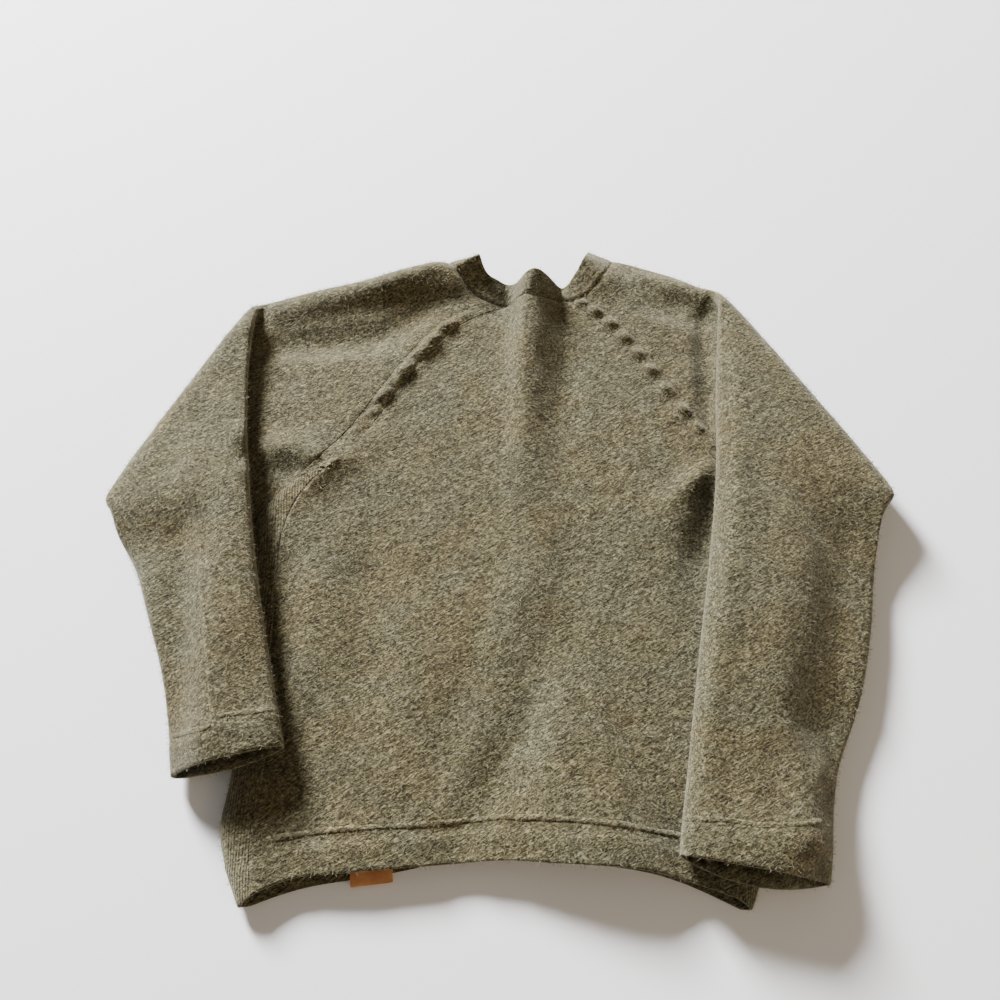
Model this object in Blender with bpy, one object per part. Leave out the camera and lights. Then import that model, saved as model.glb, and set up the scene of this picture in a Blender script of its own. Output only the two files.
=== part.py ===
"""Felted crewneck sweater with raglan sleeves, laid flat on its front.

Both sleeves are folded down over the back, so each one turns over a slanting crease beyond the shoulder.
Lengths in the tables are millimetres on the surface that the sweater lies on: x to the right, y towards the
neck, heights above the surface. The meshes are in metres, +Z up, with the origin under the middle of the
garment.
"""

import math
from collections import namedtuple

import bmesh
import bpy
from mathutils import Vector

MM = 0.001
LAYOUT_CENTRE = (0.4, 411.0)

# Cloth
WALL = 3.0
SEAM_GAP = 0.6
HEM_DEPTH = 38.0
HEM_RAISE = 1.0
HEM_RIDGE = 2.6
HEM_RIDGE_FALL = 3.5
HEM_EDGE_SHARE = 0.6
HEM_ROWS = 3
BACK_REST_HEIGHT = 20.0
SMOOTH_ANGLE = math.radians(50)

# How many strips each piece is divided into
BACK_COLUMNS = 26
FRONT_COLUMNS = 10
SIDE_ROWS = 21
SIDE_COLUMNS = 5
RAGLAN_ROWS_BACK = 11
RAGLAN_ROWS_SLEEVE = 9
SHOULDER_STEPS = 6
UNDERARM_STEPS = SIDE_COLUMNS - 1
BAND_ROWS = 3

# Sleeve folds
FOLD_RADIUS = 21.0
CREASE_TOP = 18.0
CREASE_LOW = (45.0, 135.0)
UPPER_ARM_RINGS = 8
FOLD_RINGS = 6
FOREARM_RINGS = 15
SETTLE_LENGTH = 70.0
LIE_CLEARANCE = 3.2
BOW_EARLY = 0.6
BOW_NARROW = 1.3
CUFF_REACH_START = 0.8
WAY_STEP = 0.03

# How far beside the body and beside the upper arm a folded forearm has come down to the surface
BODY_BESIDE = 62.0
BODY_SLOPE = 50.0
ARM_BESIDE = 56.0
ARM_SLOPE = 46.0

# Strip of twisted decrease stitches along each raglan line
STRIP_ROWS = 60
STRIP_COLUMNS = 4
TWIST_SLANT = 0.012

Fold = namedtuple("Fold", "x y height left right")
Side = namedtuple("Side", "back_x back_y edge_x edge_y front_x front_y")
Neck = namedtuple("Neck", "x y layer out_x out_y out_z")
Point = namedtuple("Point", "x y")
Twist = namedtuple("Twist", "share height reach")
Arm = namedtuple("Arm", "inner_x inner_y outer_x outer_y height edge_round")
Sleeve = namedtuple(
    "Sleeve",
    "crease overarm underarm shoulder_rise underarm_bow forearm folds under_reach side",
)

# Folds of the back, each a ridge or, below zero, a hollow along its rows, with the reach to each side of it
FOLDS = {
    "centre crease": (
        Fold(26, 400, 0, 30, 55),
        Fold(26, 470, 7, 30, 60),
        Fold(26, 566, 14, 26, 62),
        Fold(27, 640, 20, 24, 60),
        Fold(33, 712, 27, 22, 42),
        Fold(40, 745, 30, 22, 36),
    ),
    "crease below the chest": (
        Fold(-12, 240, 0, 40, 40),
        Fold(0, 279, 5, 36, 46),
        Fold(15, 330, 8, 32, 50),
        Fold(28, 385, 7, 30, 50),
        Fold(28, 440, 0, 30, 50),
    ),
    "hollow beside it": (
        Fold(104, 322, 0, 20, 26),
        Fold(88, 350, -3, 20, 26),
        Fold(64, 388, -5, 18, 22),
        Fold(48, 425, 0, 14, 18),
    ),
    "tent at the hem": (
        Fold(112, 60, 18, 150, 72),
        Fold(98, 120, 17, 118, 68),
        Fold(86, 180, 13, 84, 58),
        Fold(76, 238, 7, 50, 46),
        Fold(68, 280, 0, 36, 36),
    ),
    "valley left of the tent": (
        Fold(-42, 64, -4, 50, 14),
        Fold(-20, 110, -7, 46, 14),
        Fold(5, 160, -8, 38, 12),
        Fold(30, 205, -7, 30, 10),
        Fold(46, 244, 0, 20, 10),
    ),
    "valley right of the tent": (
        Fold(186, 60, -2, 18, 24),
        Fold(170, 120, -3, 18, 24),
        Fold(150, 190, 0, 16, 24),
    ),
    "left hem slope": (
        Fold(-205, 62, -4, 46, 46),
        Fold(-192, 135, -3, 40, 46),
        Fold(-190, 190, 0, 40, 46),
    ),
    "hollow by the left sleeve": (
        Fold(-220, 250, 0, 40, 60),
        Fold(-222, 315, -4, 40, 60),
        Fold(-226, 385, -7, 30, 56),
        Fold(-224, 420, 0, 30, 50),
    ),
    "left underarm pull": (
        Fold(-268, 420, 0, 20, 16),
        Fold(-246, 452, 4, 22, 18),
        Fold(-190, 488, 8, 24, 20),
        Fold(-130, 520, 0, 26, 26),
    ),
    "left underarm roll": (
        Fold(-330, 536, 0, 16, 24),
        Fold(-300, 534, 10, 16, 24),
        Fold(-262, 526, 14, 16, 26),
        Fold(-205, 506, 8, 16, 24),
        Fold(-176, 500, 0, 16, 20),
    ),
    "right diagonal pull": (
        Fold(166, 410, 0, 22, 20),
        Fold(192, 440, 7, 22, 18),
        Fold(222, 472, 10, 22, 18),
        Fold(262, 512, 0, 22, 18),
    ),
    "hollow under the right pull": (
        Fold(252, 468, 0, 20, 20),
        Fold(236, 442, -5, 24, 24),
        Fold(212, 380, -7, 36, 36),
        Fold(206, 330, 0, 36, 36),
    ),
    "left shoulder roll": (
        Fold(-58, 752, 25, 30, 62),
        Fold(-140, 728, 22, 30, 70),
        Fold(-215, 708, 20, 30, 66),
        Fold(-275, 688, 16, 30, 60),
    ),
    "right shoulder roll": (
        Fold(266, 704, 12, 44, 30),
        Fold(232, 726, 17, 44, 30),
        Fold(186, 742, 22, 44, 30),
        Fold(134, 757, 28, 46, 30),
    ),
    "hollow by the right shoulder": (
        Fold(238, 640, 0, 22, 30),
        Fold(236, 668, -7, 24, 30),
        Fold(214, 700, -7, 22, 26),
        Fold(196, 712, 0, 22, 22),
    ),
    "left neck valley": (
        Fold(-10, 660, 0, 18, 18),
        Fold(-6, 690, -2, 18, 18),
        Fold(4, 716, -9, 18, 16),
    ),
    "left raglan slope": (
        Fold(-176, 570, 0, 40, 40),
        Fold(-150, 600, 3, 40, 40),
        Fold(-80, 676, 4, 36, 36),
    ),
}

# Sides of the body from hem to underarm: seam on the back, outermost edge, seam on the front
LEFT_SIDE = (
    Side(-234, 43, -249, 32, -238, 34),
    Side(-241, 95, -275, 98, -252, 92),
    Side(-233, 152, -269, 152, -248, 152),
    Side(-236, 250, -270, 250, -250, 250),
    Side(-240, 345, -274, 345, -254, 345),
    Side(-238, 415, -275, 418, -254, 415),
    Side(-222, 458, -266, 442, -246, 438),
    Side(-187, 493, -250, 464, -235, 461),
)
RIGHT_SIDE = (
    Side(224, 40, 239, 30, 229, 31),
    Side(232, 95, 266, 98, 246, 92),
    Side(236, 152, 272, 152, 252, 152),
    Side(249, 250, 285, 250, 265, 250),
    Side(262, 345, 297, 345, 277, 345),
    Side(267, 415, 304, 418, 283, 415),
    Side(266, 458, 297, 448, 280, 446),
    Side(250, 490, 286, 474, 268, 472),
)
SIDE_EDGE_HEIGHT = 9.0

BACK_HEM = (
    Point(-234, 43),
    Point(-199, 58),
    Point(-142, 63),
    Point(-67, 69),
    Point(0, 74),
    Point(46, 71),
    Point(133, 65),
    Point(180, 55),
    Point(224, 40),
)
FRONT_HEM = (
    Point(229, 31),
    Point(180, 54),
    Point(133, 67),
    Point(0, 78),
    Point(-67, 72),
    Point(-103, 63),
    Point(-144, 57),
    Point(-192, 51),
    Point(-238, 34),
)

# Middle of each raglan line between the underarm and the neck, and the same seam on the front
RAGLAN_WIDTH = 18.0
LEFT_RAGLAN = (Point(-165, 533), Point(-111, 616), Point(-56, 684))
RIGHT_RAGLAN = (Point(222, 545), Point(176, 618), Point(134, 680))
LEFT_RAGLAN_FRONT = (Point(-150, 570), Point(-88, 668))
RIGHT_RAGLAN_FRONT = (Point(222, 566), Point(164, 668))

# Raised twists up each strip, each at a share of its length from the underarm, with its reach as a share too
LEFT_TWISTS = (
    Twist(0.240, 3.0, 0.034),
    Twist(0.312, 4.5, 0.036),
    Twist(0.390, 5.5, 0.038),
    Twist(0.458, 6.0, 0.036),
    Twist(0.525, 6.0, 0.038),
    Twist(0.604, 5.5, 0.042),
    Twist(0.688, 6.0, 0.042),
    Twist(0.771, 5.0, 0.044),
    Twist(0.850, 2.5, 0.040),
)
RIGHT_TWISTS = (
    Twist(0.150, 3.5, 0.036),
    Twist(0.229, 6.0, 0.040),
    Twist(0.325, 6.5, 0.042),
    Twist(0.435, 6.0, 0.042),
    Twist(0.540, 6.5, 0.042),
    Twist(0.630, 6.5, 0.042),
    Twist(0.722, 7.0, 0.042),
    Twist(0.810, 7.0, 0.040),
    Twist(0.892, 6.5, 0.038),
    Twist(0.962, 5.0, 0.032),
)

# Neck seam, round from the left raglan along the back, over the right shoulder, along the front and home.
# layer is 1 on the top of the lying garment and 0 on its underside; out is from the seam to the free edge.
NECK = (
    Neck(6, 709, 1.00, 0, 30, 6),
    Neck(17, 710, 1.00, 3, 24, 4),
    Neck(28, 708, 1.00, 4, 27, 7),
    Neck(39, 707, 1.00, 5, 30, 9),
    Neck(54, 709, 1.00, 5, 27, 4),
    Neck(70, 713, 1.00, 5, 21, -3),
    Neck(84, 714, 1.00, 0, 25, 2),
    Neck(103, 719, 1.00, -12, 27, 6),
    Neck(117, 733, 1.00, -20, 25, 7),
    Neck(131, 756, 0.97, -25, 18, 7),
    Neck(141, 782, 0.52, -31, 10, 4),
    Neck(135, 770, 0.10, -31, 12, -1),
    Neck(122, 750, 0.00, -28, 19, 0),
    Neck(98, 710, 0.00, -19, 29, 0),
    Neck(68, 679, 0.00, -8, 33, 0),
    Neck(38, 670, 0.00, 0, 34, 0),
    Neck(8, 679, 0.00, 8, 33, 0),
    Neck(-22, 706, 0.00, 19, 28, 0),
    Neck(-43, 740, 0.00, 29, 19, 0),
    Neck(-56, 760, 0.10, 34, 10, -1),
    Neck(-63, 771, 0.52, 35, 6, 4),
    Neck(-51, 746, 0.97, 28, 15, 7),
    Neck(-33, 724, 1.00, 17, 24, 8),
    Neck(-13, 713, 1.00, 9, 29, 7),
)
NECK_PIECES = ("back", "right twist", "right shoulder", "front", "left shoulder", "left twist")
NECK_CORNERS = (0, 6, 7, 12, 18, 23, 24)

# Outer line of each sleeve's crease, where the sleeve meets it, and how the folded forearm lies after it.
# inner is the overarm edge and outer the underarm edge once folded.
LEFT_CREASE = (Point(-300, 709), Point(-438, 453))
LEFT_FOREARM = (
    Arm(-290, 684, -421, 428, 20, 0.34),
    Arm(-292, 640, -415, 406, 22, 0.36),
    Arm(-291, 600, -405, 389, 24, 0.38),
    Arm(-281, 511, -387, 361, 30, 0.44),
    Arm(-266, 415, -367, 311, 34, 0.46),
    Arm(-248, 326, -348, 262, 34, 0.46),
    Arm(-230, 253, -335, 215, 32, 0.44),
    Arm(-211, 178, -325, 151, 28, 0.42),
)
LEFT_FOREARM_FOLDS = {
    "underarm seam ridge": (
        Fold(-276, 168, 3, 30, 24),
        Fold(-300, 262, 4, 34, 26),
        Fold(-326, 380, 5, 36, 30),
        Fold(-346, 470, 6, 36, 34),
        Fold(-354, 556, 3, 30, 30),
    ),
    "shoulder bulge": (
        Fold(-392, 560, 0, 18, 20),
        Fold(-360, 558, 4, 18, 20),
        Fold(-318, 552, 6, 18, 20),
        Fold(-284, 520, 0, 16, 18),
    ),
    "hollow above the cuff": (
        Fold(-216, 226, 0, 24, 24),
        Fold(-248, 246, -5, 28, 28),
        Fold(-284, 256, 0, 24, 24),
    ),
}
RIGHT_CREASE = (Point(268, 727), Point(437, 463))
RIGHT_FOREARM = (
    Arm(261, 701, 416, 430, 20, 0.30),
    Arm(257, 664, 411, 403, 21, 0.31),
    Arm(253, 625, 405, 377, 22, 0.32),
    Arm(245, 550, 396, 327, 26, 0.34),
    Arm(237, 462, 384, 277, 28, 0.36),
    Arm(222, 370, 369, 230, 28, 0.36),
    Arm(201, 262, 351, 190, 26, 0.34),
    Arm(184, 163, 331, 146, 26, 0.34),
    Arm(168, 77, 314, 52, 24, 0.34),
)
RIGHT_FOREARM_FOLDS = {
    "inner roll": (
        Fold(182, 90, 3, 14, 30),
        Fold(240, 400, 5, 16, 34),
        Fold(262, 610, 0, 16, 34),
    ),
    "elbow hollow": (
        Fold(306, 400, 0, 34, 34),
        Fold(322, 436, -5, 34, 34),
        Fold(330, 480, 0, 34, 34),
    ),
    "long hollow": (
        Fold(262, 120, 0, 30, 30),
        Fold(276, 160, -7, 34, 30),
        Fold(312, 236, -7, 34, 34),
        Fold(318, 340, 0, 34, 34),
    ),
    "outer hollow": (
        Fold(292, 176, 0, 26, 34),
        Fold(330, 204, -6, 26, 32),
        Fold(362, 232, 0, 26, 30),
    ),
    "cuff swell": (
        Fold(300, 60, 4, 30, 26),
        Fold(300, 100, 5, 28, 25),
        Fold(300, 150, 0, 26, 24),
    ),
}
LEFT_SLEEVE = Sleeve(
    crease=LEFT_CREASE,
    overarm=Point(-284, 718),
    underarm=Point(-410, 452),
    shoulder_rise=6,
    underarm_bow=34,
    forearm=LEFT_FOREARM,
    folds=LEFT_FOREARM_FOLDS,
    under_reach=8,
    side=LEFT_SIDE,
)
RIGHT_SLEEVE = Sleeve(
    crease=RIGHT_CREASE,
    overarm=Point(256, 742),
    underarm=Point(411, 457),
    shoulder_rise=6,
    underarm_bow=16,
    forearm=RIGHT_FOREARM,
    folds=RIGHT_FOREARM_FOLDS,
    under_reach=15,
    side=RIGHT_SIDE,
)
OVERARM_SPAN = 0.60
UNDERARM_SPAN = 0.42
UPPER_ARM_ROUND = (0.34, 0.46)

# Leather tab at the front hem
TAB_CENTRE = (-124.0, 63.5)
TAB_SIZE = (41.0, 22.0, 2.0)
TAB_TURN = math.radians(6.5)
TAB_CORNER = 1.6

FELT = ((0.235, 0.222, 0.150, 1.0), 0.95)
SIDE_KNIT = ((0.205, 0.192, 0.128, 1.0), 0.95)
BAND_FELT = ((0.220, 0.206, 0.140, 1.0), 0.95)
TAN_LEATHER = ((0.545, 0.228, 0.082, 1.0), 0.50)


def clear_scene():
    for obj in list(bpy.data.objects):
        bpy.data.objects.remove(obj)


def material(name, finish):
    """A plain surface of one colour and roughness."""
    colour, roughness = finish
    made = bpy.data.materials.new(name)
    made.use_nodes = True
    shader = made.node_tree.nodes["Principled BSDF"]
    shader.inputs["Base Color"].default_value = colour
    shader.inputs["Roughness"].default_value = roughness
    shader.inputs["Metallic"].default_value = 0.0
    return made


# Small mathematics

def ease(value):
    """0 below 0, 1 above 1 and smooth between."""
    value = min(max(value, 0.0), 1.0)
    return value * value * (3.0 - 2.0 * value)


def mix(start, end, share):
    return start + (end - start) * share


def through(rows, share):
    """The row at that share of a smooth curve through rows, evenly along its first two columns."""
    lengths = [0.0]
    for before, after in zip(rows, rows[1:]):
        lengths.append(lengths[-1] + math.hypot(after[0] - before[0], after[1] - before[1]))
    target = min(max(share, 0.0), 1.0) * lengths[-1]
    last = len(rows) - 2
    index = max(i for i in range(last + 1) if lengths[i] <= target or i == 0)
    local = (target - lengths[index]) / (lengths[index + 1] - lengths[index])
    before, after = rows[max(index - 1, 0)], rows[min(index + 2, last + 1)]
    return spline(before, rows[index], rows[index + 1], after, local)


def spline(before, start, end, after, t):
    """Catmull-Rom curve from start to end."""
    made = []
    for a, b, c, d in zip(before, start, end, after):
        bend = 2 * a - 5 * b + 4 * c - d
        twist = 3 * b - a - 3 * c + d
        made.append(0.5 * (2 * b + (c - a) * t + bend * t * t + twist * t ** 3))
    return made


def fold_height(rows, x, y):
    """How much a fold raises the cloth at x, y, by the nearest point of its line."""
    nearest = None
    for start, end in zip(rows, rows[1:]):
        along_x, along_y = end.x - start.x, end.y - start.y
        square = along_x * along_x + along_y * along_y
        share = min(max(((x - start.x) * along_x + (y - start.y) * along_y) / square, 0.0), 1.0)
        off_x, off_y = x - start.x - along_x * share, y - start.y - along_y * share
        distance = math.hypot(off_x, off_y)
        if nearest is None or distance < nearest[0]:
            leftward = (along_x * off_y - along_y * off_x) / max(distance * math.sqrt(square), 1e-9)
            left, right = mix(start.left, end.left, share), mix(start.right, end.right, share)
            reach = mix(right, left, (1.0 + leftward) / 2)
            nearest = (distance, reach, mix(start.height, end.height, share))
    distance, reach, height = nearest
    if distance >= reach:
        return 0.0
    near = distance / reach
    return height * (1.0 - near * near) ** 2


class Crease:
    """The line that a sleeve is folded over: its axis, the way along it and the way out over it."""

    def __init__(self, line):
        start, end = Vector(line[0]), Vector(line[1])
        self.along = (end - start).normalized()
        across = Vector((self.along.y, -self.along.x))
        self.out = across if across.dot(start - Vector((0.0, start.y))) > 0 else -across
        self.axis = start - self.out * FOLD_RADIUS

    def beyond(self, x, y):
        return (Vector((x, y)) - self.axis).dot(self.out)

    def unfold(self, x, y):
        """Where a point of the folded forearm lay before the fold was made."""
        beyond = self.beyond(x, y)
        flat = math.pi * FOLD_RADIUS - beyond
        return Vector((x, y)) + self.out * (flat - beyond)

    def turn(self, x, y, height):
        """The place that a point of the flat sleeve takes when the sleeve is folded over the crease."""
        beyond = self.beyond(x, y)
        if beyond <= 0.0:
            return Vector((x, y, height))
        foot = Vector((x, y)) - self.out * beyond
        arc = math.pi * FOLD_RADIUS
        if beyond >= arc:
            place = foot - self.out * (beyond - arc)
            return Vector((place.x, place.y, 2.0 * FOLD_RADIUS - height))
        angle = beyond / FOLD_RADIUS
        radius = FOLD_RADIUS - height
        place = foot + self.out * (radius * math.sin(angle))
        return Vector((place.x, place.y, FOLD_RADIUS - radius * math.cos(angle)))


CREASES = (Crease(LEFT_CREASE), Crease(RIGHT_CREASE))


def top_height(x, y):
    """Height of the upper surface of the body and upper arms."""
    height = BACK_REST_HEIGHT + sum(fold_height(rows, x, y) for rows in FOLDS.values())
    low, high = CREASE_LOW
    for crease in CREASES:
        height = mix(CREASE_TOP, height, ease((-crease.beyond(x, y) - low) / (high - low)))
    return height


# Outlines shared by neighbouring pieces

def side_section(rows, share):
    """Points round the side of the body, from its seam on the back to its seam on the front."""
    row = Side(*side_row(rows, share))
    top = top_height(row.back_x, row.back_y)
    points = []
    for step in range(SIDE_COLUMNS + 1):
        angle = math.pi * step / SIDE_COLUMNS
        upper = step * 2 < SIDE_COLUMNS
        near_x, near_y = (row.back_x, row.back_y) if upper else (row.front_x, row.front_y)
        height = mix(SIDE_EDGE_HEIGHT, top if upper else 0.0, abs(math.cos(angle)))
        out = math.sin(angle)
        points.append(Vector((mix(near_x, row.edge_x, out), mix(near_y, row.edge_y, out), height)))
    return points


def side_row(rows, share):
    """A row of the side's table, evenly along its edge."""
    turned = [Side(r.edge_x, r.edge_y, r.back_x, r.back_y, r.front_x, r.front_y) for r in rows]
    edge_x, edge_y, back_x, back_y, front_x, front_y = through(turned, share)
    return back_x, back_y, edge_x, edge_y, front_x, front_y


def side_shares():
    """Rows of the body from hem to underarm: three across the hem and its ridge, then even."""
    pairs = zip(LEFT_SIDE, LEFT_SIDE[1:])
    length = sum(math.hypot(b.edge_x - a.edge_x, b.edge_y - a.edge_y) for a, b in pairs)
    hem, fall = HEM_DEPTH / length, HEM_RIDGE_FALL / length
    rest = SIDE_ROWS - HEM_ROWS
    return [0.0, hem / 2, hem] + [mix(hem + fall, 1.0, step / rest) for step in range(rest + 1)]


def on_top(point):
    return Vector((point[0], point[1], top_height(point[0], point[1])))


def raglan_line(start, middle, end, offset, steps):
    """Points up a raglan line, from underarm to neck, at that distance from its middle."""
    rows = [Point(start.x, start.y)]
    for before, here, after in zip((middle[0],) + middle, middle, middle[1:] + (middle[-1],)):
        way = Vector((after.x - before.x, after.y - before.y)).normalized()
        rows.append(Point(here.x - way.y * offset, here.y + way.x * offset))
    rows.append(Point(end.x, end.y))
    return [through(rows, step / steps) for step in range(steps + 1)]


def neck_loop():
    """Seam and free-edge points of the neckband in NECK's order, a list for each neighbouring piece."""
    rows = list(NECK) + [NECK[0]]
    steps = {
        "back": BACK_COLUMNS,
        "front": FRONT_COLUMNS,
        "right shoulder": SHOULDER_STEPS,
        "left shoulder": SHOULDER_STEPS,
        "right twist": 1,
        "left twist": 1,
    }
    loop = {}
    for name, first, last in zip(NECK_PIECES, NECK_CORNERS, NECK_CORNERS[1:]):
        span = rows[first:last + 1]
        points = []
        for step in range(steps[name] + 1):
            row = Neck(*through(span, step / steps[name]))
            layer = min(max(row.layer, 0.0), 1.0)
            seam = Vector((row.x, row.y, layer * top_height(row.x, row.y)))
            points.append((seam, seam + Vector((row.out_x, row.out_y, row.out_z))))
        loop[name] = points
    return loop


# Panels

def panel_grid(left, right, bottom, top, height_of):
    """Rows of points between four outlines: left and right run from hem to neck."""
    last_row, last_column = len(left) - 1, len(bottom) - 1
    grid = []
    for i in range(last_row + 1):
        v = i / last_row
        row = []
        for j in range(last_column + 1):
            u = j / last_column
            near_hem = (1.0 - max(i - HEM_ROWS, 0) / (last_row - HEM_ROWS)) ** 3
            if i == 0:
                row.append(bottom[j].copy())
            elif i == last_row:
                row.append(top[j].copy())
            elif j in (0, last_column):
                row.append((left if j == 0 else right)[i].copy())
            else:
                x, y = (
                    mix(left[i][k], right[i][k], u)
                    + near_hem * (bottom[j][k] - mix(bottom[0][k], bottom[-1][k], u))
                    + v ** 3 * (top[j][k] - mix(top[0][k], top[-1][k], u))
                    for k in (0, 1)
                )
                row.append(Vector((x, y, height_of(x, y))))
        grid.append(row)
    return grid


def on_floor(point):
    return Vector((point[0], point[1], 0.0))


def body_grids(loop):
    """The back, the front and both sides, which share their seams."""
    shares = side_shares()
    left = [side_section(LEFT_SIDE, share) for share in shares]
    right = [side_section(RIGHT_SIDE, share) for share in shares]
    neck_left, neck_right = loop["back"][0][0], loop["back"][-1][0]
    half, rows = RAGLAN_WIDTH / 2, RAGLAN_ROWS_BACK
    back_left = [section[0] for section in left]
    back_left += [on_top(p) for p in raglan_line(left[-1][0], LEFT_RAGLAN, neck_left, -half, rows)[1:-1]]
    back_right = [section[0] for section in right]
    back_right += [on_top(p) for p in raglan_line(right[-1][0], RIGHT_RAGLAN, neck_right, half, rows)[1:-1]]
    hem = [on_top(through(BACK_HEM, step / BACK_COLUMNS)) for step in range(BACK_COLUMNS + 1)]
    hem[0], hem[-1] = left[0][0], right[0][0]
    neck = [seam for seam, _ in loop["back"]]
    back = panel_grid(back_left + [neck_left], back_right + [neck_right], hem, neck, top_height)

    rows = RAGLAN_ROWS_SLEEVE
    neck_left, neck_right = loop["front"][-1][0], loop["front"][0][0]
    front_right = [section[-1] for section in right]
    line = raglan_line(right[-1][-1], RIGHT_RAGLAN_FRONT, neck_right, 0.0, rows)
    front_right += [on_floor(p) for p in line[1:-1]] + [neck_right]
    front_left = [section[-1] for section in left]
    line = raglan_line(left[-1][-1], LEFT_RAGLAN_FRONT, neck_left, 0.0, rows)
    front_left += [on_floor(p) for p in line[1:-1]] + [neck_left]
    hem = [on_floor(through(FRONT_HEM, step / FRONT_COLUMNS)) for step in range(FRONT_COLUMNS + 1)]
    hem[0], hem[-1] = right[0][-1], left[0][-1]
    neck = [seam for seam, _ in loop["front"]]
    front = panel_grid(front_right, front_left, hem, neck, lambda x, y: 0.0)
    return back, front, [section[::-1] for section in left], right


# Sleeves

def section_angles():
    """Angle of each point round a sleeve: up the back, over the shoulder, down the front, under the arm."""
    turns = (
        (math.pi - UNDERARM_SPAN, OVERARM_SPAN, RAGLAN_ROWS_SLEEVE),
        (OVERARM_SPAN, -OVERARM_SPAN, SHOULDER_STEPS),
        (-OVERARM_SPAN, UNDERARM_SPAN - math.pi, RAGLAN_ROWS_SLEEVE),
        (UNDERARM_SPAN - math.pi, -UNDERARM_SPAN - math.pi, UNDERARM_STEPS),
    )
    return [mix(start, end, step / steps) for start, end, steps in turns for step in range(steps)]


def layer_of(angle, roundness):
    """1 on the layer that faces up before the fold and 0 on the one that faces down."""
    rise = math.sin(angle)
    return 0.5 + 0.5 * math.copysign(abs(rise) ** roundness, rise)


def armhole(side_top, raglan, shoulder, raglan_front):
    """The ring of points where a sleeve joins, each with its layer."""
    ring = raglan[:-1] + shoulder[:-1] + raglan_front[:-1] + side_top[:-1]
    return [(point, min(point.z / top_height(point.x, point.y), 1.0)) for point in ring]


def cover(x, y, side_rows, edge_line):
    """How far the cloth beneath holds up a folded forearm: 1 over it, easing to 0 beside it."""
    outward = 1.0 if side_rows[0].edge_x > 0 else -1.0
    below = [row for row in side_rows[:-2] if row.edge_y <= y] or [side_rows[0]]
    edge = below[-1]
    later = side_rows[min(side_rows.index(edge) + 1, len(side_rows) - 3)]
    rise = max(later.edge_y - edge.edge_y, 1.0)
    edge_x = mix(edge.edge_x, later.edge_x, min(max((y - edge.edge_y) / rise, 0.0), 1.0))
    over_body = ease((BODY_BESIDE - outward * (x - edge_x)) / BODY_SLOPE)
    start, end = edge_line
    way = (Vector(end) - Vector(start)).normalized()
    above = outward * (way.x * (y - start.y) - way.y * (x - start.x))
    over_arm = ease((above + ARM_BESIDE) / ARM_SLOPE)
    return 1.0 - (1.0 - over_body) * (1.0 - over_arm)


def square_to(way, towards):
    """The unit vector square to one direction and on the side of the other."""
    square = Vector((-way.y, way.x)).normalized()
    return square if square.dot(towards) > 0 else -square


def sleeve_grid(ring, sleeve, inset=0.0):
    """Rings of points from the armhole over the crease to the cuff, that far inside the wall's face."""
    over, under = Vector(sleeve.overarm), Vector(sleeve.underarm)
    rings = upper_arm(ring, sleeve, over, under, inset)
    rings += turned_arm(sleeve, over, under, inset)
    return rings + lying_arm(sleeve, inset)


def upper_arm(ring, sleeve, over, under, inset):
    """The part of a sleeve that lies on the surface, from the armhole to the start of the fold."""
    crease = Crease(sleeve.crease)
    centre = sum((Vector(point.to_2d()) for point, _ in ring), Vector((0.0, 0.0))) / len(ring)
    square = square_to((over + under) / 2 - centre, over - under) * inset
    rings = []
    for step in range(UPPER_ARM_RINGS + 1):
        share = step / UPPER_ARM_RINGS
        row = []
        for angle, (start, start_layer) in zip(section_angles(), ring):
            q = math.cos(angle)
            end = (over + under) / 2 + (over - under) / 2 * q
            end_layer = layer_of(angle, mix(*UPPER_ARM_ROUND, (q + 1) / 2))
            x, y = mix(start.x, end.x, share), mix(start.y, end.y, share)
            y += sleeve.shoulder_rise * math.sin(math.pi * share) * max(q, 0.0) ** 2
            y += sleeve.underarm_bow * math.sin(math.pi * share ** BOW_EARLY) * max(-q, 0.0) ** BOW_NARROW
            x, y = x - square.x * q, y - square.y * q
            layer = mix(start_layer, end_layer, ease(share * 2.0))
            row.append(crease.turn(x, y, mix(inset, top_height(x, y) - inset, layer)))
        rings.append(row)
    return rings


def turned_arm(sleeve, over, under, inset):
    """The part of a sleeve that goes over the fold."""
    crease = Crease(sleeve.crease)
    first = sleeve.forearm[0]
    after_over = crease.unfold(first.inner_x, first.inner_y)
    after_under = crease.unfold(first.outer_x, first.outer_y)
    square = square_to(after_over + after_under - over - under, over - under) * inset
    rings = []
    for step in range(1, FOLD_RINGS):
        share = step / FOLD_RINGS
        from_over, from_under = over.lerp(after_over, share), under.lerp(after_under, share)
        row = []
        for angle in section_angles():
            q = math.cos(angle)
            flat = (from_over + from_under) / 2 + (from_over - from_under) / 2 * q
            start = crease.beyond(*((over + under) / 2 + (over - under) / 2 * q))
            wanted = mix(start, math.pi * FOLD_RADIUS, share)
            flat += crease.out * (wanted - crease.beyond(flat.x, flat.y)) - square * q
            before = layer_of(angle, mix(*UPPER_ARM_ROUND, (q + 1) / 2))
            layer = mix(before, layer_of(angle, first.edge_round), share)
            row.append(crease.turn(flat.x, flat.y, mix(inset, CREASE_TOP - inset, layer)))
        rings.append(row)
    return rings


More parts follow.
